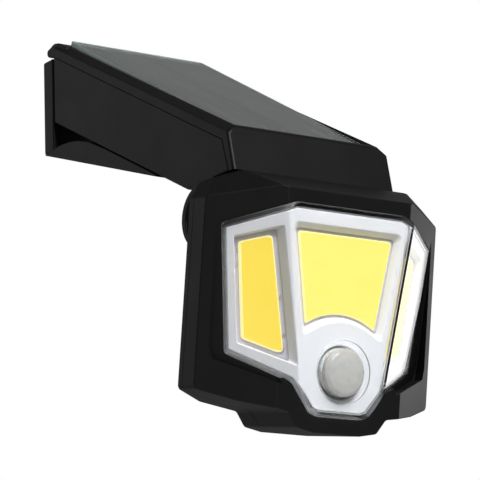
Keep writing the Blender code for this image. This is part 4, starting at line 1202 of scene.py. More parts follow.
        inner = self.glass_half_width - self.seal_width - FIT.gap
        opening = Blank.block((-inner, self.seal_width - self.glass_length, -15.0),
                              (inner, -self.seal_width, FIT.reach))
        bench.cut(recess, opening, place=places.panel)
        for x, y in self.tray_screws:
            low = self.joint_z(y) - self.post_meet
            high = self.panel_z(y - FIT.post_r) + recess_floor / cosine - FIT.gap
            bench.join(rod((x, y, 0), FIT.post_r, low, high), place=places.world)
            bench.cut(rod((x, y, 0), FIT.screw_bore, low - 1, high - 2.5), place=places.world)
        install(bench.done(), Body.ROOT, Slot.HOUSING, finishes.black, "top_cover")

    def panel(self, places: Places, finishes: Finishes) -> None:
        """Build the solar glass and dress the cells under it.

        Args:
            places: local frames.
            finishes: materials.
        """
        half = self.glass_half_width
        pane = Blank.block((-half, -self.glass_length, -self.glass_thickness), (half, 0, 0))
        glass = pane.soften(self.seam_r, steps=2).made("solar_pane", places.panel)
        outward = places.panel.to_3x3().col[2].normalized()
        two_toned(glass, finishes.glass, finishes.glass_edge,
                  lambda face: abs(face.normal.dot(outward)) < 0.9)
        install(glass, Body.ROOT, Slot.GLASS, finishes.glass, "solar_glass")
        for side in Side:
            dress(f"solar_cell_{side.word}", finishes.silicon)
        dress("panel_backer", finishes.backer)
        dress("panel_seal", finishes.rubber)


@dataclass(frozen=True)
class WallBracket:
    """Back plate, web and arm that carry the housing on the wall."""

    housing: Housing
    depth: float = 9.2
    top_z: float = 23.3
    foot_z: float = -23.3
    tip_y: float = -101.0
    apex_y: float = -56.5
    arm_wall: float = 3.0
    web_half: float = 31.0
    fillet: float = 11.0
    hole_x: float = 24.0
    hole_z: float = 9.0
    hole_r: float = 2.4
    hole_web: float = 4.0
    screw_web: float = 2.8
    pocket_ys: Point2 = (-88.0, -58.0)
    well_half: float = 7.0
    pockets: tuple[Point2, ...] = ((-39.6, -25.0), (-11.0, 11.0), (25.0, 39.6))

    def web(self) -> Blank:
        """Upright web that flares into the plate with round fillets."""
        house = self.housing
        corner = (self.web_half + self.fillet, -self.depth - self.fillet)
        flare = [(corner[0], -self.depth + 2.0), *arc(corner, self.fillet, 90, 180, 10)]
        half = [*flare, (self.web_half, self.apex_y + 6.0)]
        low_rise = (self.foot_z - (house.bottom.at(self.tip_y) - FIT.gap - 1.0)) / -self.tip_y
        trims = [Trim((0, 0, house.bottom.at(0.0) - FIT.gap), (0, -house.bottom.rise, 1.0)),
                 Trim((0, 0, self.foot_z + 0.4), (0, low_rise, -1.0))]
        return Blank.prism(mirrored(half), -70.0, 5.0, trims)

    def build(self, places: Places, finishes: Finishes) -> None:
        """Build the bracket.

        Args:
            places: local frames.
            finishes: materials.
        """
        house = self.housing
        tip_z, apex_z = house.bottom.at(self.tip_y) - FIT.gap, house.bottom.at(self.apex_y) - FIT.gap
        plate = Blank.block((-self.depth, self.foot_z, -house.half_width), (0, self.top_z, house.half_width))
        bench = Bench("bracket_casting", places.side, plate.soften(1.0))
        scoop = ((-42.0, -3.9), (-32.0, -0.7), (-24.8, 0.6), (-15.3, 1.4), (-8.0, 0.8))
        arm_outline = [(0.0, self.foot_z), (self.tip_y, tip_z - 1.0), (self.tip_y, tip_z),
                       (self.apex_y, apex_z), *((y, self.foot_z + rise) for y, rise in scoop)]
        arm = Blank.prism(arm_outline, -house.half_width, house.half_width)
        bench.join(arm.soften(0.45, lambda mid, way: abs(way.z) < 0.3))
        bench.join(self.web(), place=places.world)
        rear_y, (front_y, middle_y) = -self.arm_wall - 4.0, self.pocket_ys
        pocket = [(rear_y, self.foot_z - 8.0), (front_y, tip_z - 8.0),
                  (front_y, house.bottom.at(front_y) - 3.2), (middle_y, house.bottom.at(middle_y) - 3.6),
                  (-26.0, self.foot_z - self.arm_wall), (rear_y, self.foot_z - self.arm_wall)]
        for low, high in self.pockets:
            cutter = Blank.prism(pocket, low, high)
            bench.cut(cutter.soften(0.8, lambda mid, way: mid.y > mid.x * 0.33 - 30.0))
        for side in Side:
            spot = (0, self.hole_z, side * self.hole_x)
            bench.cut(rod(spot, self.hole_r, -FIT.reach, FIT.reach, "x"))
            well = Blank.block((-FIT.reach, self.hole_z - self.well_half, spot[2] - self.well_half),
                               (-self.hole_web, self.hole_z + self.well_half, spot[2] + self.well_half))
            bench.cut(well.soften(2.0, lambda mid, way: abs(way.x) > 0.9))
            screw = (side * house.arm_screw_x, 0, 0)
            bench.cut(rod(screw, FIT.screw_bore, -FIT.reach, 15.0), place=places.underside)
            bench.cut(rod(screw, FIT.head_bore, -FIT.reach, -self.screw_web), place=places.underside)
        install(bench.done(), Body.ROOT, Slot.HOUSING, finishes.black, "wall_bracket")


@dataclass(frozen=True)
class TiltHinge:
    """End caps and pivot screws on the tilt axis."""

    housing: Housing
    y: float
    z: float
    cap_r: float = 14.1
    cap_depth: float = 2.6
    recess_r: float = 10.6
    recess_depth: float = 1.4
    rim_r: float = 0.7
    lip_r: float = 0.5
    head_r: float = 4.2
    head_depth: float = 1.8
    tip_x: float = 23.7

    def build(self, places: Places, finishes: Finishes) -> None:
        """Build both ends of the hinge.

        Args:
            places: local frames.
            finishes: materials.
        """
        inner = self.housing.half_width + FIT.gap
        outer = inner + self.cap_depth
        floor = outer - self.recess_depth
        bore = self.housing.pivot_r + FIT.bore
        rim = arc((self.cap_r - self.rim_r, outer - self.rim_r), self.rim_r, 0, 90, 5)
        lip = arc((self.recess_r + self.lip_r, outer - self.lip_r), self.lip_r, 90, 180, 4)
        profile = [(bore, inner), (self.cap_r, inner), *rim, *lip, (self.recess_r - 0.6, floor + 0.5),
                   (self.recess_r - 1.1, floor), (bore, floor)]
        over = Matrix.Rotation(math.pi, 4, "X")
        for side in Side:
            turn = Matrix.Identity(4) if side is Side.RIGHT else over
            spot = Matrix.Translation((self.y, self.z, 0))
            cap = Blank.turned(profile, 72).moved(spot @ turn).made(f"pivot_cap_{side.word}", places.side)
            install(cap, Body.ROOT, Slot.HOUSING, finishes.black, f"hinge_cap_{side.word}")
            seat = floor + FIT.gap
            place = places.side @ spot @ turn @ Matrix.Translation((0, 0, seat)) @ over
            screw = PanScrew(self.housing.pivot_r, self.head_r, self.head_depth)
            screw.build(f"pivot_bolt_{side.word}", place, seat - self.tip_x, Body.ROOT, finishes.steel,
                        f"pivot_screw_{side.word}")


def rectangle(half_x: float, half_y: float, z: float) -> list[Point3]:
    """Corners of a rectangle round the axis, at a height."""
    return [(-half_x, -half_y, z), (half_x, -half_y, z), (half_x, half_y, z), (-half_x, half_y, z)]


@dataclass(frozen=True)
class PanScrew:
    """Pan-head screw with a cross recess; its head lies below z = 0 and its shank above."""

    shank_r: float = FIT.screw_r
    head_r: float = FIT.screw_head_r
    head: float = FIT.screw_head
    pitch: float = 0.7
    runout: float = 1.5
    root_share: float = 0.78
    recess_half: float = 0.32
    recess_foot: float = 0.26

    def profile(self, length: float) -> list[Point2]:
        """Turned profile of the screw from the top of the head to the tip."""
        quarter = [math.pi / 2 * step / 6 for step in range(1, 7)]
        dome = [(self.head_r * math.sin(a), -self.head * (0.45 + 0.55 * math.cos(a))) for a in quarter]
        thread = []
        for turn in range(max(3, int((length - self.runout) / self.pitch))):
            start = 0.4 + turn * self.pitch
            thread += [(self.shank_r * 0.99, start), (self.shank_r * self.root_share, start + self.pitch / 2)]
        return [(0.0, -self.head), *dome, (self.head_r, 0.0), *thread, (self.shank_r * 0.7, length - 0.5),
                (0.0, length)]

    def build(self, name: str, place: Matrix, length: float, body: Body, steel: bpy.types.Material,
              node: str) -> None:
        """Build one screw.

        Args:
            name: name of the piece.
            place: local frame of the screw.
            length: shank length in mm.
            body: body that it rides on.
            steel: its material.
            node: node that it replaces.
        """
        bench = Bench(name, place, Blank.turned(self.profile(length), 28))
        arm, depth = self.head_r * 0.52, self.head * 0.62
        for turn in (0, 90):
            slot = Blank().loft([rectangle(arm, self.recess_half, -self.head - 0.5),
                                 rectangle(arm * 0.6, self.recess_foot, -self.head + depth)])
            bench.cut(slot.moved(Matrix.Rotation(math.radians(turn), 4, "Z")))
        install(bench.done(), body, Slot.METAL, steel, node)


def fasten_housing(bracket: WallBracket, places: Places, finishes: Finishes) -> None:
    """Build the tray and bracket screws.

    Args:
        bracket: the bracket, with the housing that it carries.
        places: local frames.
        finishes: materials.
    """
    housing = bracket.housing
    for (x, y), name in zip(housing.tray_screws, ("rear_left", "rear_right", "front_left", "front_right")):
        seat = housing.bottom.at(y) + housing.screw_seat - FIT.gap
        length = housing.joint_z(y) - housing.post_meet - seat + housing.tray_screw_grip - FIT.gap
        place = places.world @ Matrix.Translation((x, y, seat))
        PanScrew().build(f"tray_bolt_{name}", place, length, Body.ROOT, finishes.steel, f"tray_screw_{name}")
    seat = -bracket.screw_web - FIT.gap
    for side in Side:
        place = places.underside @ Matrix.Translation((side * housing.arm_screw_x, 0, seat))
        PanScrew().build(f"arm_bolt_{side.word}", place, housing.arm_boss - seat - 1.0, Body.ROOT,
                         finishes.steel, f"bracket_screw_{side.word}")


@dataclass(frozen=True)
class LampHead:
    """Two black shells of the lamp head, drawn from the tilt axis: x across, h up, v outward."""

    outline_half: tuple[Point2, ...] = ((42.0, 18.5), (55.0, 12.9), (61.0, 4.4), (61.0, -76.5), (45.0, -80.7),
                                        (25.4, -83.6), (20.7, -90.0), (12.0, -91.6))
    cover_half: tuple[Point2, ...] = ((28.0, 5.3), (54.6, -5.7), (48.3, -60.5), (24.6, -71.2), (15.2, -83.2),
                                      (11.0, -84.6))
    pocket: tuple[Point2, ...] = ((24.0, -60.0), (40.0, 6.0), (56.6, 6.0), (56.6, -58.5), (55.0, -63.6),
                                  (35.3, -70.4), (30.0, -72.3))
    corner_r: float = 2.6
    wall: float = 2.4
    back_v: float = 8.4
    seam_v: float = 20.4
    side_rear_v: float = 16.9
    face_v: float = 49.4
    facet_edge_x: float = 32.0
    facet_slope: float = 0.679
    rear_chamfer: float = 0.5
    hinge_pocket_half: float = 47.6
    hinge_pocket_v: float = 15.2
    hinge_pocket_h: float = -16.2
    top_drop: float = 7.2
    top_start_v: float = 29.7
    corner_v: float = 25.5
    corner_lean: Point3 = (0.52, 0.677, 0.515)
    edge_r: float = 1.3
    seam_r: float = 0.35
    barrel_r: float = 12.0
    barrel_half: float = 29.2
    barrel_bore: float = 8.6
    barrel_end: float = 6.0
    pivot_r: float = 2.0
    cover_face_v: float = 51.9
    cover_side_v: float = 75.5
    cover_side_slope: float = 0.7404
    cover_side_lean: float = 0.1086
    pocket_drop: float = 0.6
    flange: float = 2.6
    flange_v: Point2 = (21.4, 23.4)
    seal_half: float = 0.9
    seal_width: float = 1.2
    screw_seat: float = 3.5
    screw_length: float = 11.0
    screws: tuple[tuple[float, float, str], ...] = (
        (-53.2, -71.0, "lower_left"), (53.2, -71.0, "lower_right"),
        (-51.4, 3.4, "upper_left"), (51.4, 3.4, "upper_right"))
    button_h: float = -47.0
    button_r: float = 4.6

    def outline(self) -> list[Point2]:
        """Outline of both shells, with rounded corners."""
        return soft_corners(mirrored(self.outline_half), self.corner_r, 4)

    def lens_side(self, inward: float, side: int) -> Trim:
        """Side plane of the clear cover, moved inward."""
        normal = Vector((side * self.cover_side_slope, -self.cover_side_lean, 1.0))
        return Trim((0, 0, self.cover_side_v - inward * normal.length), tuple(normal))

    def lens(self, inward: float) -> list[Trim]:
        """Front and side planes of the clear cover, moved inward."""
        front = Trim((0, 0, self.cover_face_v - inward), (0, 0, 1))
        return [front, self.lens_side(inward, 1), self.lens_side(inward, -1)]

    def depth(self, inward: float, side: int) -> Callable[[float, float], float]:
        """Height of a lens plane over x and h.

        Args:
            inward: distance of the plane inside the clear cover's outer face.
            side: 0 for the middle, or the sign of X.

        Returns:
            A function of x and h.
        """
        if side == 0:
            return lambda x, h: self.cover_face_v - inward
        length = Vector((self.cover_side_slope, self.cover_side_lean, 1.0)).length
        top = self.cover_side_v - inward * length
        return lambda x, h: top - self.cover_side_slope * side * x + self.cover_side_lean * h

    def face(self, inward: float) -> list[Trim]:
        """Planes that bound the front of the head, moved inward."""
        trims = [Trim((0, 0, self.face_v), (0, 0, 1))]
        corner, (lean_x, lean_h, lean_v) = self.outline_half[1], self.corner_lean
        for side in (1, -1):
            trims.append(Trim((side * self.facet_edge_x, 0, self.face_v), (side * self.facet_slope, 0, 1)))
            trims.append(Trim((side * corner[0], corner[1], self.corner_v), (side * lean_x, lean_h, lean_v)))
        top = (0, self.outline_half[0][1], self.top_start_v)
        trims.append(Trim(top, (0, self.face_v - self.top_start_v, self.top_drop)))
        return [trim.inward(inward) for trim in trims]

    def front(self, places: Places, finishes: Finishes) -> None:
        """Build the front frame with the sunk ledge round the clear cover.

        Args:
            places: local frames.
            finishes: materials.
        """
        outline, wall, gap = self.outline(), self.wall, FIT.gap
        seam = self.seam_v + gap / 2
        shell = Blank.prism(outline, seam, self.face_v + 1, self.face(0))
        shell.soften(self.edge_r, lambda mid, way: mid.z > seam + 0.5)
        shell.soften(self.seam_r, lambda mid, way: mid.z < seam + 0.1)
        bench = Bench("front_bezel", places.head, shell)
        for side in (1, -1):
            shape = list(self.pocket) if side > 0 else flipped(self.pocket)
            floor = self.lens_side(self.pocket_drop, side).reversed()
            cutter = Blank.prism(shape, self.seam_v, self.face_v + FIT.reach, [floor])
            bench.cut(cutter.soften(0.7, lambda mid, way: mid.z < self.face_v + 2.0))
        hollow = self.face(wall) + self.lens(self.pocket_drop + wall)[1:]
        bench.cut(Blank.prism(grown(outline, -wall), self.seam_v - 2, self.face_v, hollow))
        groove = Bench("tool_groove", places.head, Blank.prism(grown(outline, -wall), self.seam_v - 2,
                                                               self.seam_v + self.seal_half + gap))
        groove.cut(Blank.prism(grown(outline, -(wall + self.seal_width + 2 * gap)), 0, FIT.reach))
        bench.cut_with(groove.done())
        rim = self.face(wall / 2) + self.lens(self.pocket_drop + wall / 2)[1:]
        rim_outline = grown(mirrored(self.cover_half), self.flange)
        bench.join(Blank.prism(rim_outline, self.flange_v[1] + gap, self.face_v, rim))
        opening = Blank.prism(grown(mirrored(self.cover_half), gap), self.seam_v, self.face_v + FIT.reach)
        bench.cut(opening.soften(1.2, lambda mid, way: abs(way.z) > 0.9))
        for x, h, _name in self.screws:
            bench.join(rod((x, h, 0), FIT.post_r, seam, self.seam_v + 12.0))
            bench.cut(rod((x, h, 0), FIT.screw_bore, self.seam_v - 1, self.seam_v + 8.5))
        install(bench.done(), Body.HEAD, Slot.HOUSING, finishes.black, "head_front_frame")

    def rear(self, places: Places, finishes: Finishes) -> None:
        """Build the rear shell with the hinge barrel.

        Args:
            places: local frames.
            finishes: materials.
        """
        outline, wall, gap = self.outline(), self.wall, FIT.gap
        seam = self.seam_v - gap / 2
        half_width = self.outline_half[2][0]
        trims = [Trim((side * half_width, 0, self.side_rear_v), (side * self.rear_chamfer, 0, -1))
                 for side in (1, -1)]
        trims.append(Trim((0, self.outline_half[0][1], self.seam_v - 1.5), (0, 0.7, -1)))
        shell = Blank.prism(outline, self.back_v, seam, trims)
        shell.soften(self.edge_r, lambda mid, way: mid.z < seam - 0.8
                     and not (abs(way.z) > 0.9 and mid.y > 0))
        shell.soften(self.seam_r, lambda mid, way: mid.z > seam - 0.1)
        bench = Bench("rear_casing", places.head, shell)
        pocket = Blank.block((-self.hinge_pocket_half, self.hinge_pocket_h, -FIT.reach),
                             (self.hinge_pocket_half, FIT.reach, self.hinge_pocket_v))
        bench.cut(pocket.soften(1.2, lambda mid, way: mid.y < 30 and mid.z > -30))
        bench.cut(Blank.prism(grown(outline, -wall), self.hinge_pocket_v + wall, self.seam_v + 1))
        low_top = self.hinge_pocket_h - wall
        low = mirrored([(41.0, low_top), (41.0, -79.0), (23.0, -82.0), (18.0, -88.0)])
        bench.cut(Blank.prism(low, self.back_v + wall, self.seam_v + 1))
        half = self.barrel_half
        bench.join(rod((0, 0, 0), self.barrel_r, -half, half, "x", 72, 0.5))
        bench.join(Blank.block((-half + 0.6, -10.0, 0), (half - 0.6, 9.0, self.hinge_pocket_v + wall / 2)))
        core = half - self.barrel_end
        bench.cut(rod((0, 0, 0), self.barrel_bore, -core, core, "x"))
        bench.cut(rod((0, 0, 0), self.pivot_r + FIT.bore, -2 * FIT.reach, 2 * FIT.reach, "x"))
        bench.cut(Blank.block((-5.0, -3.0, -FIT.reach), (5.0, FIT.reach, 4.0)))
        bench.cut(rod((0, 0, 0), FIT.lead_bore, 0, self.seam_v))
        for x, h, _name in self.screws:
            bench.join(rod((x, h, 0), FIT.post_r, self.seam_v - 6.0, seam))
            bench.cut(rod((x, h, 0), FIT.screw_bore, -FIT.reach, self.seam_v + 1))
            bench.cut(rod((x, h, 0), FIT.head_bore, -FIT.reach, self.seam_v - self.screw_seat - gap))
        bench.cut(rod((0, self.button_h, 0), self.button_r + gap, 0, self.seam_v))
        install(bench.done(), Body.HEAD, Slot.HOUSING, finishes.black, "head_rear_shell")
        dress("head_seal", finishes.rubber)

    def fasten(self, places: Places, finishes: Finishes) -> None:
        """Build the four head screws.

        Args:
            places: local frames.
            finishes: materials.
        """
        for x, h, name in self.screws:
            place = places.head @ Matrix.Translation((x, h, self.seam_v - self.screw_seat - 2 * FIT.gap))
            PanScrew().build(f"head_bolt_{name}", place, self.screw_length, Body.HEAD, finishes.steel,
                             f"head_screw_{name}")


@dataclass(frozen=True)
class LightStack:
    """Clear cover, reflector and lit areas behind it."""

    head: LampHead
    cover_wall: float = 2.0
    clearance: float = 1.0
    skin: float = 3.2
    back_v: float = 29.2
    phosphor: float = 0.9
    centre_top: Point2 = (24.4, -6.4)
    centre_foot: Point2 = (17.9, -45.6)
    arc_centre_h: float = -72.8
    arc_r: float = 32.5
    side_light: tuple[Point2, ...] = ((45.3, -12.8), (34.2, -9.1), (25.5, -59.3), (40.3, -53.6))
    light_corner: float = 1.7
    centre_rim: tuple[float, ...] = (1.3, 2.1, 3.6)
    side_rim: tuple[float, ...] = (2.0, 2.5, 3.2)
    sensor_h: float = -65.1
    dome_r: float = 10.4
    ring_r: float = 13.9
    ring_drop: float = 0.9
    crease: float = 2.0

    @property
    def plate(self) -> float:
        """Depth of the reflector's front inside the cover's outer face."""
        return self.cover_wall + self.clearance

    def light_outline(self, side: int) -> list[Point2]:
        """Corners of a lit area; the middle one's foot is an arc round the sensor.

        Args:
            side: 0 for the middle, or the sign of X.

        Returns:
            The outline, with sharp corners.
        """
        if side:
            return list(self.side_light) if side > 0 else flipped(self.side_light)
        reach = math.degrees(math.asin(self.centre_foot[0] / self.arc_r))
        foot = arc((0, self.arc_centre_h), self.arc_r, 90 - reach, 90 + reach, 20)[1:-1]
        left_foot, left_top = flipped((self.centre_top, self.centre_foot))
        return [self.centre_top, self.centre_foot, *foot, left_foot, left_top]

    def ring(self, outline: Sequence[Point2], margin: float, inward: float, side: int) -> list[Point3]:
        """Raise a grown outline onto a plane of the lens.

        Args:
            outline: the lit area's outline.
            margin: how far it grows.
            inward: depth inside the cover's outer face.
            side: 0 for the middle, or the sign of X.

        Returns:
            Points in the head's frame.
        """
        depth = self.head.depth(inward, side)
        corner = max(0.5, self.light_corner + margin * (0.3 if side == 0 else -0.3))
        return [(x, h, depth(x, h)) for x, h in soft_corners(grown(outline, margin), corner)]

    def build(self, places: Places, finishes: Finishes) -> None:
        """Build the clear cover, reflector and lit areas.

        Args:
            places: local frames.
            finishes: materials.
        """
        self._cover(places, finishes)
        self._reflector(places, finishes)
        for side, word in ((0, "centre"), (-1, "left"), (1, "right")):
            outline = self.light_outline(side)
            top = self.plate + self.skin - self.phosphor
            rings = [self.ring(outline, margin, top + drop, side) for margin, drop in
                     ((0.0, self.phosphor + 0.22), (0.0, 0.45), (-0.2, 0.18), (-0.5, 0.04), (-0.9, 0.0))]
            gel = Blank().loft(rings).made(f"phosphor_gel_{word}", places.head)
            flat = max(gel.data.polygons, key=lambda face: face.area).normal.copy()
            face_finish = finishes.side_phosphor if side else finishes.phosphor
            two_toned(gel, face_finish, finishes.phosphor_rim,
                      lambda face, flat=flat: abs(face.normal.dot(flat)) < 0.97)
            install(gel, Body.HEAD, Slot.PHOSPHOR, face_finish, f"phosphor_{word}")
            dress(f"led_board_{word}", finishes.light_board)

    def _cover(self, places: Places, finishes: Finishes) -> None:
        """Build the clear cover."""
        head = self.head
        outline = mirrored(head.cover_half)
        outward = places.head.to_3x3().col[2].normalized()

        def above_flange(mid: Vector, way: Vector) -> bool:
            """Pick the edges above the flange."""
            return mid.z > head.flange_v[1] + 0.5

        def on_crease(mid: Vector, way: Vector) -> bool:
            """Pick the two long edges beside the middle of the face."""
            return mid.z > head.cover_face_v - self.cover_wall - 0.2 and abs(way.y) > 0.9

        outer = Blank.prism(outline, head.flange_v[0], head.cover_face_v + 1, head.lens(0))
        outer.soften(self.crease, on_crease, 7).soften(1.5, above_flange, 4)
        bench = Bench("clear_window", places.head, outer)
        bench.join(Blank.prism(grown(outline, head.flange), *head.flange_v))
        inner = Blank.prism(grown(outline, -self.cover_wall), head.flange_v[0] - 1, head.cover_face_v + 1,
                            head.lens(self.cover_wall))
        bench.cut(inner.soften(self.crease * 0.66, on_crease, 7).soften(0.7, above_flange, 3))
        top, hole = head.cover_face_v, Matrix.Translation((0, self.sensor_h, 0))
        bench.cut(rod((0, self.sensor_h, 0), self.dome_r + FIT.gap, 0, top + FIT.reach, sides=72))
        ring = [(0.0, top - self.ring_drop), (self.ring_r - 0.2, top - self.ring_drop),
                (self.ring_r, top - self.ring_drop + 0.2), (self.ring_r, top + 3), (0.0, top + 3)]
        bench.cut(Blank.turned(ring, 96).moved(hole))
        cover = bench.done()
        centre = places.head @ Vector((0, self.sensor_h, top))
        reach = (self.ring_r + 0.2) * MM

        def is_hazy(face: bpy.types.MeshPolygon) -> bool:
            """Pick the upright walls, with the step round the sensor."""
            lean = abs(face.normal.dot(outward))
            return lean < 0.3 or (lean < 0.98 and (face.center - centre).length < reach)

        two_toned(cover, finishes.cover, finishes.cover_wall, is_hazy)
        install(cover, Body.HEAD, Slot.COVER, finishes.cover, "clear_cover")

    def _reflector(self, places: Places, finishes: Finishes) -> None:
        """Build the reflector with sloped window rims and the sensor's ring."""
        head, plate = self.head, self.plate
        inset = self.cover_wall + 2 * FIT.gap
        outline = mirrored(head.cover_half)
        outer = Blank.prism(grown(outline, -inset), self.back_v, head.cover_face_v, head.lens(plate))
        outer.soften(0.6, lambda mid, way: mid.z > self.back_v + 1)
        bench = Bench("reflector_plate", places.head, outer)
        bench.cut(Blank.prism(grown(outline, -inset - 1.6), self.back_v - 1, head.cover_face_v,
                              head.lens(plate + self.skin)))
        for side in (0, -1, 1):
            foot, waist, rim = self.side_rim if side else self.centre_rim
            rings = [self.ring(self.light_outline(side), margin, inward, side) for margin, inward in
                     ((foot, plate + self.skin + 3.0), (foot, plate + self.skin - 0.4), (waist, plate + 1.2),
                      (rim - 0.2, plate + 0.2), (rim + 0.15, plate - 0.02), (rim + 0.15, plate - 4.0))]
            bench.cut(Blank().loft(rings))
        front = head.cover_face_v - plate
        hole = self.dome_r + 1.2
        cone = [(0.0, front - 12), (hole, front - 12), (hole, front - 0.5), (hole + 0.5, front + 0.1),
                (hole + 0.5, front + 3), (0.0, front + 3)]
        bench.cut(Blank.turned(cone, 96).moved(Matrix.Translation((0, self.sensor_h, 0))))
        install(bench.done(), Body.HEAD, Slot.REFLECTOR, finishes.white, "reflector")


@dataclass(frozen=True)
class MotionSensor:
    """Facetted lens over the motion sensor."""

    stack: LightStack
    rise: float = 3.4
    rim_above: float = 0.1
    steps: int = 26
    wall: float = 0.9
    flange_r: float = 12.6
    flange: float = 1.0
    facet_rings: tuple[float, ...] = (0.38, 0.72)
    facet_rim: float = 0.97
    facet_counts: tuple[int, ...] = (1, 5, 9)
    facet_depth: float = 0.16

    def facets(self, radius: float, angle: float) -> float:
        """Relief of the lens facets at a radius and angle."""
        share = radius / self.stack.dome_r
        if share > self.facet_rim:
            return 0.0
        ring = sum(share > edge for edge in self.facet_rings)
        bounds = (0.0, *self.facet_rings, self.facet_rim)
        across = (share - bounds[ring]) / (bounds[ring + 1] - bounds[ring])
        round_share = (angle * self.facet_counts[ring] / math.tau + 0.25 * ring) % 1.0
        swell = math.sin(math.pi * min(1.0, across))
        if ring:
            swell *= math.sin(math.pi * round_share) ** 0.5
        return self.facet_depth * (swell - 1.0)

    def build(self, places: Places, finishes: Finishes) -> None:
        """Build the lens and dress what lies behind it.

        Args:
            places: local frames.
            finishes: materials.
        """
        stack = self.stack
        face_v = stack.head.cover_face_v
        base = face_v - stack.plate - stack.skin - FIT.gap
        rim, radius = face_v + self.rim_above, stack.dome_r
        angles = [math.pi / 2 * i / self.steps for i in range(self.steps + 1)]
        outer = [(radius * math.sin(a), rim + self.rise * math.cos(a)) for a in angles]
        inside, sunk = radius - self.wall, rim - self.wall - 0.2
        inner = [(inside * math.sin(a), sunk + self.rise * math.cos(a)) for a in reversed(angles)]
        profile = [*outer, (radius, base), (self.flange_r, base), (self.flange_r, base - self.flange),
                   (inside, base - self.flange), *inner]
        lens = Blank.turned(profile, 96)
        for vert in lens.bm.verts:
            x, y, z = vert.co
            if z > rim + 0.01:
                vert.co.z += self.facets(math.hypot(x, y), math.atan2(y, x) % math.tau)
        piece = lens.moved(Matrix.Translation((0, stack.sensor_h, 0))).made("sensor_lens", places.head)
        install(piece, Body.HEAD, Slot.DOME, finishes.lens, "sensor_dome")
        dress("sensor_board", finishes.circuit)
        dress("sensor_can", finishes.steel)


@dataclass(frozen=True)
class ModeButton:
    """Rubber button in the back of the head."""

    head: LampHead
    proud: float = 3.4
    flange_r: float = 6.2
    flange: float = 1.2
    stem_r: float = 2.2
    stem_top: float = 15.8
    rim_r: float = 0.9
    dish: tuple[Point2, ...] = ((0.62, 0.05), (0.55, 0.35), (0.3, 0.5), (0.0, 0.55))

    def build(self, places: Places, finishes: Finishes) -> None:
        """Build the button and dress its switch.

        Args:
            places: local frames.
            finishes: materials.
        """
        radius = self.head.button_r
        low = self.head.back_v + self.head.wall + FIT.gap
        tip = self.head.back_v - self.proud
        rim = arc((radius - self.rim_r, tip + self.rim_r), self.rim_r, 0, -90, 5)
        dish = [(radius * share, tip + sunk) for share, sunk in self.dish]
        profile = [(0.0, self.stem_top), (self.stem_r, self.stem_top), (self.stem_r, low + self.flange),
                   (self.flange_r - 0.3, low + self.flange), (self.flange_r, low + self.flange - 0.3),
                   (self.flange_r, low), (radius, low), *rim, *dish]
        button = Blank.turned(profile, 56).moved(Matrix.Translation((0, self.head.button_h, 0)))
        piece = button.made("rubber_button", places.head)
        install(piece, Body.BUTTON, Slot.RUBBER, finishes.rubber, "mode_button")
        dress("mode_switch", finishes.black_part)


@dataclass(frozen=True)
class Insides:
    """Finishes of the pieces that stay as packed."""

    finishes: Finishes

    def build(self) -> None:
        """Dress the battery pack, boards, leads and washers."""
        look = self.finishes
        for place in ("rear", "front"):
            dress(f"battery_cell_{place}", look.battery)
        for side in Side:
            dress(f"battery_contact_{side.word}", look.steel)
            dress(f"friction_washer_{side.word}", look.nylon)
        for node in ("battery_holder", "charge_inductor", "driver_coil", "driver_chip"):
            dress(node, look.black_part)
        for node in ("charge_board", "driver_board"):
            dress(node, look.circuit)
        for node in ("lead_housing", "lead_head"):
            dress(node, look.lead)
        dress("lead_plug", look.nylon)


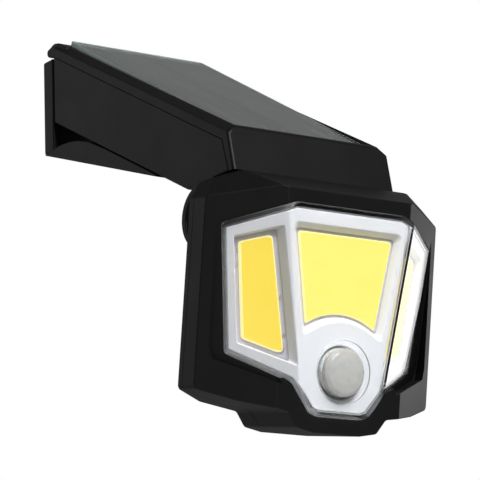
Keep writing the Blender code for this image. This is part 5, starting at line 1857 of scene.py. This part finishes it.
# ================================================================ studio
@dataclass(frozen=True)
class Studio:
    """Camera, floor and lights."""

    azimuth: float = -33.57
    elevation: float = -14.12
    roll: float = -1.84
    look_at: Point3 = (0.0, -0.1034, -0.0840)
    distance: float = 1.2643
    lens: float = 208.6
    sensor: float = 36.0
    floor_z: float = -0.62
    floor_half: float = 9000.0
    world: float = 0.10

    def camera(self) -> None:
        """Place the camera."""
        turn, lift = math.radians(self.azimuth), math.radians(self.elevation)
        back = Vector((math.sin(turn) * math.cos(lift), -math.cos(turn) * math.cos(lift), math.sin(lift)))
        right = Vector((math.cos(turn), math.sin(turn), 0))
        up = back.cross(right)
        basis = Matrix((right, up, back)).transposed().to_4x4()
        data = bpy.data.cameras.new("camera")
        data.lens, data.sensor_width = self.lens, self.sensor
        data.clip_start, data.clip_end = 0.01, 100.0
        camera = bpy.data.objects.new("camera", data)
        spot = Matrix.Translation(Vector(self.look_at) + back * self.distance)
        camera.matrix_world = spot @ basis @ Matrix.Rotation(math.radians(self.roll), 4, "Z")
        bpy.context.scene.collection.objects.link(camera)
        bpy.context.scene.camera = camera

    def card(self, name: str, way: Point3, distance: float, size: float, radiance: float) -> None:
        """Add a soft square light card that faces the lamp.

        Args:
            name: name of the light.
            way: direction from the lamp to the card.
            distance: its distance in metres.
            size: its side in metres.
            radiance: how bright it looks, where 1 is white.
        """
        data = bpy.data.lights.new(name, "AREA")
        data.size, data.energy = size, radiance * math.pi * size ** 2
        item = bpy.data.objects.new(name, data)
        item.location = Vector(self.look_at) + Vector(way).normalized() * distance
        item.rotation_euler = (-Vector(way)).to_track_quat("-Z", "Y").to_euler()
        bpy.context.scene.collection.objects.link(item)

    def floor(self) -> None:
        """Lay a pale floor far below the wall lamp."""
        plane = Blank.block((-self.floor_half, -self.floor_half, 0), (self.floor_half, self.floor_half, 20))
        low = Matrix.Translation((0, 0, self.floor_z / MM - 20))
        slab = plane.soften(6.0, steps=2).moved(low).made("studio_floor", Matrix.Scale(MM, 4))
        slab.data.materials.append(SatinWhite("pale_floor", (0.86, 0.86, 0.86), 0.7).material())

    def sky(self) -> None:
        """Light the surroundings softly behind a white backdrop."""
        world = bpy.data.worlds.new("studio")
        world.use_nodes = True
        tree = world.node_tree
        tree.nodes.clear()
        soft, white = tree.nodes.new("ShaderNodeBackground"), tree.nodes.new("ShaderNodeBackground")
        soft.inputs[1].default_value = self.world
        white.inputs[0].default_value = (1, 1, 1, 1)
        path, mixed = tree.nodes.new("ShaderNodeLightPath"), tree.nodes.new("ShaderNodeMixShader")
        output = tree.nodes.new("ShaderNodeOutputWorld")
        tree.links.new(path.outputs["Is Camera Ray"], mixed.inputs[0])
        tree.links.new(soft.outputs[0], mixed.inputs[1])
        tree.links.new(white.outputs[0], mixed.inputs[2])
        tree.links.new(mixed.outputs[0], output.inputs[0])
        bpy.context.scene.world = world

    def build(self) -> None:
        """Set up the studio."""
        view = bpy.context.scene.view_settings
        view.view_transform, view.look = "Standard", "None"
        self.camera()
        self.floor()
        self.sky()
        self.card("key_card", (-0.02, -0.82, 0.57), 2.2, 0.8, 14.5)
        self.card("left_card", (-0.54, 0.81, 0.24), 2.0, 1.6, 0.34)
        self.card("glass_card", (0.54, 0.61, 0.58), 2.0, 1.3, 0.13)
        self.card("facet_card", (0.96, 0.25, 0.08), 1.5, 0.5, 1.9)


def main() -> None:
    """Build the lamp, piece by piece, and its studio."""
    logging.basicConfig(level=logging.INFO, format="%(message)s")
    finishes = build_finishes()
    housing = Housing()
    hinge = Vector(joint_record("head_tilt")["pos_m"]) / MM
    places = find_places(housing.glass_slope, housing.glass_thickness, housing.arm_screw_y, housing.bottom)
    bracket = WallBracket(housing)
    bracket.build(places, finishes)
    housing.tray(places, finishes, (hinge.y, hinge.z))
    housing.cover(places, finishes)
    housing.panel(places, finishes)
    TiltHinge(housing, hinge.y, hinge.z).build(places, finishes)
    head = LampHead()
    head.rear(places, finishes)
    head.front(places, finishes)
    head.fasten(places, finishes)
    stack = LightStack(head)
    stack.build(places, finishes)
    MotionSensor(stack).build(places, finishes)
    ModeButton(head).build(places, finishes)
    Insides(finishes).build()
    fasten_housing(bracket, places, finishes)
    Studio().build()


if __name__ == "__main__":
    main()
